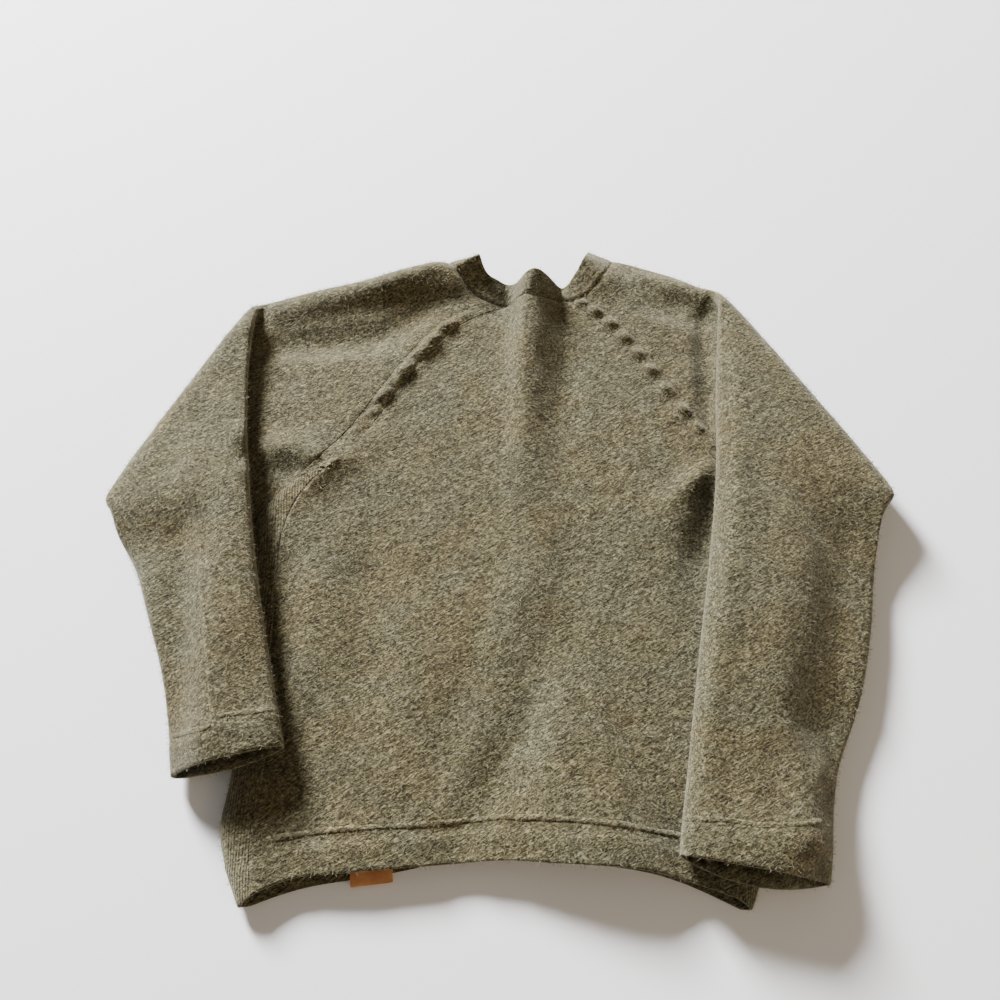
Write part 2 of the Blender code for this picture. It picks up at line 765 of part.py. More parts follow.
def lying_arm(sleeve, inset):
    """The part of a sleeve that lies on the upper arm and on the body, from the fold to the cuff."""
    crease = Crease(sleeve.crease)
    beneath = (Point(sleeve.side[-1].edge_x, sleeve.side[-1].edge_y), sleeve.underarm)
    pairs = zip(sleeve.forearm, sleeve.forearm[1:])
    length = sum(math.hypot(b.inner_x - a.inner_x, b.inner_y - a.inner_y) for a, b in pairs)
    cuff, fall = HEM_DEPTH / length, HEM_RIDGE_FALL / length
    rest = FOREARM_RINGS - HEM_ROWS
    shares = [(1.0 - cuff - fall) * step / rest for step in range(rest + 1)]
    shares += [1.0 - cuff, 1.0 - cuff / 2, 1.0]
    rings = []
    for share in shares:
        arm = Arm(*through(sleeve.forearm, share))
        before, after = (Arm(*through(sleeve.forearm, share + shift)) for shift in (-WAY_STEP, WAY_STEP))
        inner, outer = Vector((arm.inner_x, arm.inner_y)), Vector((arm.outer_x, arm.outer_y))
        way_x = after.inner_x - before.inner_x + after.outer_x - before.outer_x
        way_y = after.inner_y - before.inner_y + after.outer_y - before.outer_y
        way = Vector((way_x, way_y)).normalized()
        square = square_to(way, inner - outer) * inset
        reach = sleeve.under_reach * ease((share - CUFF_REACH_START) / (1.0 - CUFF_REACH_START))
        row = []
        for angle in section_angles():
            q = math.cos(angle)
            layer = layer_of(angle, arm.edge_round)
            place = (inner + outer) / 2 + (inner - outer) / 2 * q
            place += way * (reach * layer * math.sin(angle) ** 2 if layer > 0.5 else 0.0)
            place -= square * q
            folded = 2.0 * FOLD_RADIUS - mix(inset, CREASE_TOP - inset, layer)
            held = cover(place.x, place.y, sleeve.side, beneath)
            held *= top_height(place.x, place.y) + LIE_CLEARANCE
            raised = arm.height + sum(fold_height(rows, place.x, place.y) for rows in sleeve.folds.values())
            lying = held + mix(raised - inset, inset, layer)
            settled = ease(-crease.beyond(place.x, place.y) / SETTLE_LENGTH)
            row.append(Vector((place.x, place.y, mix(folded, lying, settled))))
        rings.append(row)
    return rings


# Walls

def add_normals(found, grid, turn, closed):
    """Adds the outward direction of each face of a grid to the points that it shares with other grids."""
    columns = len(grid[0])
    for i in range(len(grid) - 1):
        for j in range(columns if closed else columns - 1):
            k = (j + 1) % columns
            corners = (grid[i][j], grid[i][k], grid[i + 1][k], grid[i + 1][j])
            normal = (corners[2] - corners[0]).cross(corners[3] - corners[1]) * turn
            for corner in corners:
                key = tuple(round(value, 2) for value in corner)
                found[key] = found.get(key, Vector()) + normal


def wall_points(grid, normals, raise_of=None):
    """Outer and inner points of a wall whose outer face follows the grid, raised where raise_of says."""
    outer, inner = [], []
    for i, row in enumerate(grid):
        outer.append([])
        inner.append([])
        for j, point in enumerate(row):
            normal = normals[tuple(round(value, 2) for value in point)].normalized()
            extra = raise_of(i) * max(normal.z, 0.0) if raise_of else 0.0
            outer[-1].append(point + normal * extra)
            inner[-1].append(point - normal * WALL)
    return outer, inner


def pulled(edge, beside, closed):
    """The points of a seam edge moved back by half a seam gap, square to the edge."""
    count = len(edge)
    moved = []
    for j, point in enumerate(edge):
        before = edge[(j - 1) % count] if closed else edge[max(j - 1, 0)]
        after = edge[(j + 1) % count] if closed else edge[min(j + 1, count - 1)]
        way = (after - before).normalized()
        inward = beside[j] - point
        inward -= way * inward.dot(way)
        moved.append(point + inward.normalized() * (SEAM_GAP / 2))
    return moved


def draw_in(surface, closed, ends, sides):
    """Moves the seam edges of a grid back: its first and last row, and its two sides."""
    firsts = pulled(surface[0], surface[1], closed) if ends[0] else surface[0]
    lasts = pulled(surface[-1], surface[-2], closed) if ends[1] else surface[-1]
    surface = [firsts] + surface[1:-1] + [lasts]
    if sides:
        left, right = [row[0] for row in surface], [row[-1] for row in surface]
        if sides[0]:
            left = pulled(left, [row[1] for row in surface], False)
        if sides[1]:
            right = pulled(right, [row[-2] for row in surface], False)
        surface = [[start] + row[1:-1] + [end] for start, row, end in zip(left, surface, right)]
    return surface


def build_wall(name, outer, inner, finish, closed=False):
    """A closed solid between two grids of points."""
    mesh = bmesh.new()
    centre = Vector((LAYOUT_CENTRE[0], LAYOUT_CENTRE[1], 0.0))
    faces = []
    for grid in (outer, inner):
        faces.append([[mesh.verts.new((point - centre) * MM) for point in row] for row in grid])
    rows, columns = len(outer), len(outer[0])
    across = range(columns if closed else columns - 1)
    for i in range(rows - 1):
        for j in across:
            k = (j + 1) % columns
            for grid in faces:
                mesh.faces.new((grid[i][j], grid[i][k], grid[i + 1][k], grid[i + 1][j]))
        if not closed:
            for j in (0, columns - 1):
                mesh.faces.new((faces[0][i][j], faces[0][i + 1][j], faces[1][i + 1][j], faces[1][i][j]))
    for j in across:
        k = (j + 1) % columns
        for i in (0, rows - 1):
            mesh.faces.new((faces[0][i][j], faces[0][i][k], faces[1][i][k], faces[1][i][j]))
    bmesh.ops.recalc_face_normals(mesh, faces=mesh.faces)
    return finish_object(name, mesh, finish)


def finish_object(name, mesh, finish):
    data = bpy.data.meshes.new(name)
    mesh.to_mesh(data)
    mesh.free()
    data.shade_smooth()
    data.set_sharp_from_angle(angle=SMOOTH_ANGLE)
    data.materials.append(finish)
    obj = bpy.data.objects.new(name, data)
    bpy.context.scene.collection.objects.link(obj)
    return obj


def along(points, share):
    """The point at that share of a line of evenly counted points, straight between them."""
    place = share * (len(points) - 1)
    index = min(int(place), len(points) - 2)
    return points[index].lerp(points[index + 1], place - index)


def twist_rise(twists, share):
    """How far the twists of a strip stand up at that share of its length."""
    rise = 0.0
    for twist in twists:
        off = (share - twist.share) / twist.reach
        rise += twist.height * max(1.0 - off * off, 0.0) ** 2
    return rise


def twist_strip(name, body_edge, arm_edge, twists, finish):
    """The knitted strip between back and sleeve, with a row of raised twists.

    Each edge is a pair of lines, its outer and its inner points.
    """
    outer, inner = [], []
    for i in range(STRIP_ROWS + 1):
        share = i / STRIP_ROWS
        ends = [[along(points, share) for points in edge] for edge in (body_edge, arm_edge)]
        outer.append([])
        inner.append([])
        for j in range(STRIP_COLUMNS + 1):
            across = j / STRIP_COLUMNS
            out, low = ends[0][0].lerp(ends[1][0], across), ends[0][1].lerp(ends[1][1], across)
            normal = (out - low).normalized()
            rise = twist_rise(twists, share + TWIST_SLANT * (across - 0.5)) * math.sin(math.pi * across)
            outer[-1].append(out + normal * rise)
            inner[-1].append(low)
    outer, inner = (draw_in(surface, False, (True, True), (True, True)) for surface in (outer, inner))
    return build_wall(name, outer, inner, finish)


def neckband_grid(loop):
    """Rows from the neck seam to the free edge, round the whole neck."""
    pairs = [pair for name in NECK_PIECES for pair in loop[name][:-1]]
    grid = []
    for step in range(BAND_ROWS + 1):
        share = step / BAND_ROWS
        grid.append([seam.lerp(edge, share) for seam, edge in pairs])
    return grid


def hem_tab(finish):
    """A flat leather tab on the inside of the front hem."""
    mesh = bmesh.new()
    bmesh.ops.create_cube(mesh, size=1.0)
    bmesh.ops.scale(mesh, vec=Vector(TAB_SIZE) * MM, verts=mesh.verts)
    upright = [edge for edge in mesh.edges if abs(edge.verts[0].co.z - edge.verts[1].co.z) > 0.1 * MM]
    bmesh.ops.bevel(mesh, geom=upright, offset=TAB_CORNER * MM, segments=3, profile=0.5, affect="EDGES")
    tab = finish_object("hem_tab", mesh, finish)
    height = WALL + SEAM_GAP + TAB_SIZE[2] / 2
    tab.location = (
        (TAB_CENTRE[0] - LAYOUT_CENTRE[0]) * MM,
        (TAB_CENTRE[1] - LAYOUT_CENTRE[1]) * MM,
        height * MM,
    )
    tab.rotation_euler.z = TAB_TURN
    return tab


def hem_raise(i):
    """Outward rise of a turned-up hem, whose ridge is the line of its stitching."""
    return {0: HEM_RAISE * HEM_EDGE_SHARE, 1: HEM_RAISE, 2: HEM_RIDGE}.get(i, 0.0)


def sleeve_wall(rings, ring, sleeve, normals):
    """Both faces of a sleeve's wall, whose armhole ends where its neighbours' walls do."""
    last = len(rings) - 1
    outer, inner = wall_points(rings, normals, lambda i: hem_raise(last - i))
    return outer, inner[:1] + sleeve_grid(ring, sleeve, WALL)[1:]


def main():
    clear_scene()
    felt = material("felt", FELT)
    side_knit = material("side_knit", SIDE_KNIT)
    band_felt = material("band_felt", BAND_FELT)
    leather = material("tan_leather", TAN_LEATHER)

    loop = neck_loop()
    back, front, left_side, right_side = body_grids(loop)
    front_left_raglan = [row[-1] for row in front[SIDE_ROWS:]]
    front_right_raglan = [row[0] for row in front[SIDE_ROWS:]]

    left_shoulder = [seam for seam, _ in loop["left shoulder"]][::-1]
    right_shoulder = [seam for seam, _ in loop["right shoulder"]]
    left_top, right_top = left_side[-1], right_side[-1][::-1]
    half, rows = RAGLAN_WIDTH / 2, RAGLAN_ROWS_SLEEVE
    left_raglan = raglan_line(left_top[-2], LEFT_RAGLAN, left_shoulder[0], half, rows)
    right_raglan = raglan_line(right_top[-2], RIGHT_RAGLAN, right_shoulder[0], -half, rows)
    left_raglan = [left_top[-2]] + [on_top(p) for p in left_raglan[1:-1]] + [left_shoulder[0]]
    right_raglan = [right_top[-2]] + [on_top(p) for p in right_raglan[1:-1]] + [right_shoulder[0]]
    left_ring = armhole(left_top[:-1], left_raglan, left_shoulder, front_left_raglan[::-1])
    right_ring = armhole(right_top[:-1], right_raglan, right_shoulder, front_right_raglan[::-1])
    left_sleeve = sleeve_grid(left_ring, LEFT_SLEEVE)
    right_sleeve = sleeve_grid(right_ring, RIGHT_SLEEVE)
    neckband = neckband_grid(loop)

    normals = {}
    for grid, turn, closed in (
        (back, 1, False),
        (front, 1, False),
        (left_side, 1, False),
        (right_side, 1, False),
        (left_sleeve, 1, True),
        (right_sleeve, -1, True),
        (neckband, 1, True),
    ):
        add_normals(normals, grid, turn, closed)

    panel_ends, tube_ends, both_sides = (False, True), (True, False), (True, True)
    left_wall = wall_points(left_side, normals, hem_raise)
    right_wall = wall_points(right_side, normals, hem_raise)
    left_arm = sleeve_wall(left_sleeve, left_ring, LEFT_SLEEVE, normals)
    right_arm = sleeve_wall(right_sleeve, right_ring, RIGHT_SLEEVE, normals)
    walls = {
        "back": (wall_points(back, normals, hem_raise), False, panel_ends, both_sides, felt),
        "front": (wall_points(front, normals), False, panel_ends, both_sides, felt),
        "side_left": (left_wall, False, panel_ends, both_sides, side_knit),
        "side_right": (right_wall, False, panel_ends, both_sides, side_knit),
        "sleeve_left": (left_arm, True, tube_ends, None, felt),
        "sleeve_right": (right_arm, True, tube_ends, None, felt),
        "neckband": (wall_points(neckband, normals), True, tube_ends, None, band_felt),
    }
    for name, (faces, closed, ends, sides, finish) in walls.items():
        outer, inner = (draw_in(surface, closed, ends, sides) for surface in faces)
        build_wall(name, outer, inner, finish, closed)

    for side, column, twists in (("left", 0, LEFT_TWISTS), ("right", -1, RIGHT_TWISTS)):
        body_edge = [[row[column] for row in surface[SIDE_ROWS:]] for surface in walls["back"][0]]
        arm_edge = [surface[0][:RAGLAN_ROWS_SLEEVE + 1] for surface in walls[f"sleeve_{side}"][0]]
        twist_strip(f"raglan_{side}", body_edge, arm_edge, twists, felt)
    hem_tab(leather)


main()
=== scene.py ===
import math
from collections import namedtuple

import bmesh
import bpy
import numpy as np
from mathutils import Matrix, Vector, noise
from mathutils.bvhtree import BVHTree
from mathutils.kdtree import KDTree


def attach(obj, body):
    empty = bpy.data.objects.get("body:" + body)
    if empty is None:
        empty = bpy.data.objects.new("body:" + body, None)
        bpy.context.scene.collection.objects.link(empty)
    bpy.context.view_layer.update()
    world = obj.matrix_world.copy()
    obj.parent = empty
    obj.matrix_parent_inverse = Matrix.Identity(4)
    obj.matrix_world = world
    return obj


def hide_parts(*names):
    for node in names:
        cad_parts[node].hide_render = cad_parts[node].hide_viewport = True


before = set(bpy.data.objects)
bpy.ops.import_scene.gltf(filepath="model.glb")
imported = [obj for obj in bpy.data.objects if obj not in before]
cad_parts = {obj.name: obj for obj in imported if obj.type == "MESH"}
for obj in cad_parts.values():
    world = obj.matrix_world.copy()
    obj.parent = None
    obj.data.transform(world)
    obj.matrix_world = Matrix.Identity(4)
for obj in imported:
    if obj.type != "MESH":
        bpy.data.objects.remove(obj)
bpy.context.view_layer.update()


# Front panel: the lower panel of boiled wool, about 3 mm thick, which lies flat on the table under the rest.
# Its form is the solid's, made finer: free edges are rounded, and sewn edges are drawn together until they
# close. The olive grey felt that most of the sweater is cut from has short slanting flecks.

CREASE_ANGLE = math.radians(65)
SEAM_REACH = 0.0016
SAME_PLACE = 2e-6
SEWN_CREASE, FREE_EDGE_CREASE = 1.0, 0.45
SMOOTH_ROUNDS = 2
SHARP_ANGLE = math.radians(60)

neighbour_points, neighbour_faces = {}, {}
for node_name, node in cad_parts.items():
    tree = KDTree(len(node.data.vertices))
    for vertex in node.data.vertices:
        tree.insert(vertex.co, vertex.index)
    tree.balance()
    neighbour_points[node_name] = tree
    neighbour_faces[node_name] = BVHTree.FromPolygons(
        [vertex.co for vertex in node.data.vertices], [face.vertices for face in node.data.polygons]
    )


def seam_partner(node_name, point):
    """The nearest point of another piece, where it is near enough to be sewn to this one."""
    nearest = None
    for other in neighbour_points:
        if other in (node_name, "hem_tab"):
            continue
        if node_name.startswith("raglan"):
            place, _, _, distance = neighbour_faces[other].find_nearest(point, SEAM_REACH)
        else:
            place, _, distance = neighbour_points[other].find(point)
            distance = distance if distance < SEAM_REACH else None
        if distance is not None and (nearest is None or distance < nearest[1]):
            nearest = (place, distance)
    return nearest[0] if nearest else None


def settled(piece):
    """The piece with its modifiers worked into its mesh."""
    bpy.context.view_layer.update()
    worked = bpy.data.meshes.new_from_object(piece.evaluated_get(bpy.context.evaluated_depsgraph_get()))
    before = piece.data
    piece.modifiers.clear()
    piece.data = worked
    worked.name = piece.name
    bpy.data.meshes.remove(before)
    return piece


def finer_cloth(name, node_name, rounds=SMOOTH_ROUNDS):
    """The node's wall as smooth cloth. Its "seam" is 1 on the sewn rim above and -1 on the one below."""
    wall = bmesh.new()
    wall.from_mesh(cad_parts[node_name].data)
    bmesh.ops.remove_doubles(wall, verts=wall.verts, dist=SAME_PLACE)
    bmesh.ops.join_triangles(
        wall, faces=wall.faces, angle_face_threshold=math.pi, angle_shape_threshold=math.pi
    )
    crease = wall.edges.layers.float.new("crease_edge")
    seam = wall.verts.layers.float.new("seam")
    sewn = {}
    for vertex in wall.verts:
        partner = seam_partner(node_name, vertex.co)
        if partner is not None:
            sewn[vertex] = (vertex.co + partner) / 2
    cut_faces = {face for face in wall.faces if all(vertex in sewn for vertex in face.verts)}
    for edge in wall.edges:
        cut = [face for face in edge.link_faces if face in cut_faces]
        open_sides = [face for face in edge.link_faces if face not in cut_faces]
        if cut and open_sides:
            edge[crease] = SEWN_CREASE
            for vertex in edge.verts:
                vertex[seam] = 1.0 if open_sides[0].normal.z > 0 else -1.0
        elif not cut and edge.is_manifold and edge.calc_face_angle() > CREASE_ANGLE:
            edge[crease] = FREE_EDGE_CREASE
    for vertex, place in sewn.items():
        vertex.co = place
    data = bpy.data.meshes.new(name)
    wall.to_mesh(data)
    wall.free()
    data.shade_smooth()
    piece = bpy.data.objects.new(name, data)
    bpy.context.scene.collection.objects.link(piece)
    smooth = piece.modifiers.new("smooth", "SUBSURF")
    smooth.levels = smooth.render_levels = rounds
    smooth.boundary_smooth = "PRESERVE_CORNERS"
    return settled(piece)


GRAIN_TURN = 30.0
CROSSING_TURN = 60.0
FLECK_SIZE = (0.0052, 0.0015, 0.0015)
CROSSING_SIZE = (0.0020, 0.0048, 0.0020)
LUMP_SIZE = (0.0150, 0.0080, 0.0110)
PATCH_SIZE = (0.080, 0.060, 0.070)
CROSSING_SHARE, LUMP_RELIEF = 0.40, 1.1
WAVE_FACTOR = 20.0
# Share of the painted shade in the grooves between knit ribs
WALE_PAINTED_SHADE = 0.9


def felt(name, dark, middle, light, wales=None, wale_depth=0.0, sheen=0.35):
    """Boiled wool: short slanting flecks over soft mottling, in relief, with a pale bloom. The low pits of
    its lumps and the grooves between knit ribs are darkened with painted shade.
    """
    made = bpy.data.materials.new(name)
    made.use_nodes = True
    nodes, links = made.node_tree.nodes, made.node_tree.links
    shader = nodes["Principled BSDF"]
    place = nodes.new("ShaderNodeTexCoord")

    def grain(size, turn, detail, distortion):
        mapping = nodes.new("ShaderNodeMapping")
        mapping.vector_type = "TEXTURE"
        mapping.inputs["Scale"].default_value = size
        mapping.inputs["Rotation"].default_value = (0.0, 0.0, math.radians(turn))
        pattern = nodes.new("ShaderNodeTexNoise")
        pattern.inputs["Scale"].default_value = 1.0
        pattern.inputs["Detail"].default_value = detail
        pattern.inputs["Roughness"].default_value = 0.6
        pattern.inputs["Distortion"].default_value = distortion
        links.new(place.outputs["Object"], mapping.inputs["Vector"])
        links.new(mapping.outputs["Vector"], pattern.inputs["Vector"])
        return pattern.outputs["Fac"]

    def ramp(value, stops):
        colours = nodes.new("ShaderNodeValToRGB")
        elements = colours.color_ramp.elements
        while len(elements) < len(stops):
            elements.new(0.5)
        for element, (position, colour) in zip(elements, stops):
            element.position = position
            element.color = (*colour, 1.0)
        links.new(value, colours.inputs["Fac"])
        return colours.outputs["Color"]

    def multiplied(share, first, second):
        node = nodes.new("ShaderNodeMix")
        node.data_type = "RGBA"
        node.blend_type = "MULTIPLY"
        node.inputs["Factor"].default_value = share
        links.new(first, node.inputs["A"])
        links.new(second, node.inputs["B"])
        return node.outputs["Result"]

    def sum_of(first, second, weight):
        node = nodes.new("ShaderNodeMath")
        node.operation = "MULTIPLY_ADD"
        node.inputs[1].default_value = weight
        links.new(second, node.inputs[0])
        links.new(first, node.inputs[2])
        return node.outputs["Value"]

    flecks = grain(FLECK_SIZE, GRAIN_TURN, 3.0, 1.0)
    crossing = grain(CROSSING_SIZE, CROSSING_TURN, 2.0, 0.8)
    lumps = grain(LUMP_SIZE, GRAIN_TURN, 3.0, 0.5)
    patches = grain(PATCH_SIZE, 0.0, 2.0, 0.3)
    fleck_colour = ramp(
        sum_of(flecks, crossing, CROSSING_SHARE), ((0.54, dark), (0.70, middle), (0.86, light))
    )
    # Painted shade: the low pits of the lumps are darkened and their tops lightened, following their relief
    lump_painted_shade = ramp(lumps, ((0.34, (0.70, 0.68, 0.64)), (0.62, (1.10, 1.10, 1.08))))
    patch_tone = ramp(patches, ((0.35, (1.06, 0.98, 0.86)), (0.65, (0.96, 1.01, 1.03))))
    shaded = multiplied(1.0, fleck_colour, lump_painted_shade)
    toned = multiplied(1.0, shaded, patch_tone)
    relief = sum_of(flecks, lumps, LUMP_RELIEF)
    if wales is not None:
        reader = nodes.new("ShaderNodeAttribute")
        reader.attribute_name = "across"
        ribs = nodes.new("ShaderNodeTexWave")
        ribs.wave_type = "BANDS"
        ribs.bands_direction = "X"
        ribs.inputs["Scale"].default_value = 2 * math.pi / (WAVE_FACTOR * wales)
        ribs.inputs["Distortion"].default_value = 1.2
        ribs.inputs["Detail"].default_value = 2.0
        ribs.inputs["Detail Scale"].default_value = 3.0
        links.new(reader.outputs["Vector"], ribs.inputs["Vector"])
        # Painted shade: the grooves between the ribs are darkened and the ribs lightened, following their
        # relief
        rib_painted_shade = ramp(ribs.outputs["Fac"], ((0.1, (0.52, 0.50, 0.46)), (0.7, (1.1, 1.1, 1.08))))
        toned = multiplied(WALE_PAINTED_SHADE * wale_depth, toned, rib_painted_shade)
        relief = sum_of(relief, ribs.outputs["Fac"], wale_depth)
    bump = nodes.new("ShaderNodeBump")
    bump.inputs["Strength"].default_value = 0.9
    bump.inputs["Distance"].default_value = 0.0016
    links.new(relief, bump.inputs["Height"])
    links.new(toned, shader.inputs["Base Color"])
    links.new(bump.outputs["Normal"], shader.inputs["Normal"])
    shader.inputs["Roughness"].default_value = 0.93
    shader.inputs["Specular IOR Level"].default_value = 0.18
    shader.inputs["Sheen Weight"].default_value = sheen
    shader.inputs["Sheen Roughness"].default_value = 0.42
    shader.inputs["Sheen Tint"].default_value = (0.92, 0.90, 0.72, 1.0)
    return made


def ready(piece, node_name, finish):
    """The piece in its place on the garment."""
    piece.data.materials.clear()
    piece.data.materials.append(finish)
    piece.data.set_sharp_from_angle(angle=SHARP_ANGLE)
    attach(piece, "root")
    if node_name:
        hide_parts(node_name)
    return piece


olive_felt = felt("olive felt", (0.014, 0.011, 0.005), (0.074, 0.065, 0.036), (0.225, 0.207, 0.130))

front = finer_cloth("front_panel", "front")
ready(front, "front", olive_felt)


# Back panel: the large upper panel of boiled wool, laid over the front with its hem turned up and stitched.
# Its creases are pressed in along given lines, and hairs of the nap stand on its outer face.
# The stitched line of the hem is a low soft roll in the cloth.

MM = 0.001

# A point of a line of pulls, in millimetres: how far the cloth rises there, and how far to each side
Pull = namedtuple("Pull", "x y height reach")

ABOVE_ALL = 0.2
DOWN = Vector((0, 0, -1))
TOP_WALL_DEPTH, UNDER_DEPTH = 0.0042, 0.0075
LOWEST_OUTER, LOWEST_INNER = 0.0068, 0.0036
LUMP_HEIGHT = 0.6
LUMP_WAVES = ((26, Vector((1.0, 3.1, 0)), 1.6), (75, Vector((1.0, 7.7, 1.3)), 1.0))


def points_of(piece):
    """Places and normals of the piece's vertices, a row for each."""
    count = len(piece.data.vertices)
    places, normals = np.empty(count * 3, np.float32), np.empty(count * 3, np.float32)
    piece.data.vertices.foreach_get("co", places)
    piece.data.vertices.foreach_get("normal", normals)
    return places.reshape(-1, 3).astype(float), normals.reshape(-1, 3).astype(float)


def faces_of(piece):
    """The piece's faces, to be hit by rays."""
    data = piece.data
    return BVHTree.FromPolygons([v.co for v in data.vertices], [p.vertices for p in data.polygons])


def top_wall(piece, places):
    """1 on the wall that can be seen from above and 0 on what lies under it."""
    tree = faces_of(piece)
    share = np.zeros(len(places))
    for index, place in enumerate(places):
        hit = tree.ray_cast(Vector((place[0], place[1], ABOVE_ALL)), DOWN)
        depth = hit[0].z - place[2] if hit[0] else 0.0
        near = min(max((UNDER_DEPTH - depth) / (UNDER_DEPTH - TOP_WALL_DEPTH), 0.0), 1.0)
        share[index] = near * near * (3 - 2 * near)
    return share


def pull_height(rows, places):
    """Rise of the cloth over a line of pulls, in millimetres, by the nearest point of the line."""
    nearest = np.full(len(places), np.inf)
    rise = np.zeros(len(places))
    x, y = places[:, 0] * 1000, places[:, 1] * 1000
    for start, end in zip(rows, rows[1:]):
        step_x, step_y = end.x - start.x, end.y - start.y
        square = step_x * step_x + step_y * step_y
        share = np.clip(((x - start.x) * step_x + (y - start.y) * step_y) / square, 0, 1)
        off = np.hypot(x - start.x - step_x * share, y - start.y - step_y * share)
        reach = start.reach + (end.reach - start.reach) * share
        height = start.height + (end.height - start.height) * share
        near = np.clip(1 - (off / reach) ** 2, 0, 1) ** 2 * height
        closer = off < nearest
        rise[closer] = near[closer]
        nearest[closer] = off[closer]
    return rise


def press(piece, pulls):
    """Moves the cloth that can be seen from above along its pulls, with the uneven lumps of felted cloth."""
    places, normals = points_of(piece)
    rise = sum((pull_height(line, places) for line in pulls), np.zeros(len(places)))
    for index, place in enumerate(places):
        spot = Vector(place)
        for waves, shift, strength in LUMP_WAVES:
            rise[index] += LUMP_HEIGHT * strength * noise.noise(spot * waves + shift)
    lowest = np.minimum(places[:, 2], np.where(normals[:, 2] > 0, LOWEST_OUTER, LOWEST_INNER))
    places[:, 2] = np.maximum(places[:, 2] + rise * top_wall(piece, places) * MM, lowest)
    piece.data.vertices.foreach_set("co", places.astype(np.float32).ravel())
    piece.data.update()


def nap_hair(name, colour, tip):
    """Single wool hairs, a little paler than the felt they stand on, uneven from hair to hair."""
    made = bpy.data.materials.new(name)
    made.use_nodes = True
    nodes, links = made.node_tree.nodes, made.node_tree.links
    shader = nodes["Principled BSDF"]
    place = nodes.new("ShaderNodeTexCoord")
    pattern = nodes.new("ShaderNodeTexNoise")
    pattern.inputs["Scale"].default_value = 420.0
    pattern.inputs["Detail"].default_value = 2.0
    colours = nodes.new("ShaderNodeValToRGB")
    colours.color_ramp.elements[0].position = 0.36
    colours.color_ramp.elements[0].color = (*colour, 1.0)
    colours.color_ramp.elements[1].position = 0.66
    colours.color_ramp.elements[1].color = (*tip, 1.0)
    links.new(place.outputs["Object"], pattern.inputs["Vector"])
    links.new(pattern.outputs["Fac"], colours.inputs["Fac"])
    links.new(colours.outputs["Color"], shader.inputs["Base Color"])
    shader.inputs["Roughness"].default_value = 0.85
    shader.inputs["Specular IOR Level"].default_value = 0.25
    shader.inputs["Sheen Weight"].default_value = 0.3
    return made


PANEL_HAIRS = 130000.0
HAIR_LENGTH, HAIR_WIDTH = 0.0040, 0.00024
HAIR_RISE, HAIR_BEND = 0.30, 1.8
LEAN_LEAST, LEAN_MOST = (-0.4, -0.50, 0.0), (0.4, -0.02, 2 * math.pi)
SHORTEST_HAIR, LONGEST_HAIR = 0.45, 1.35


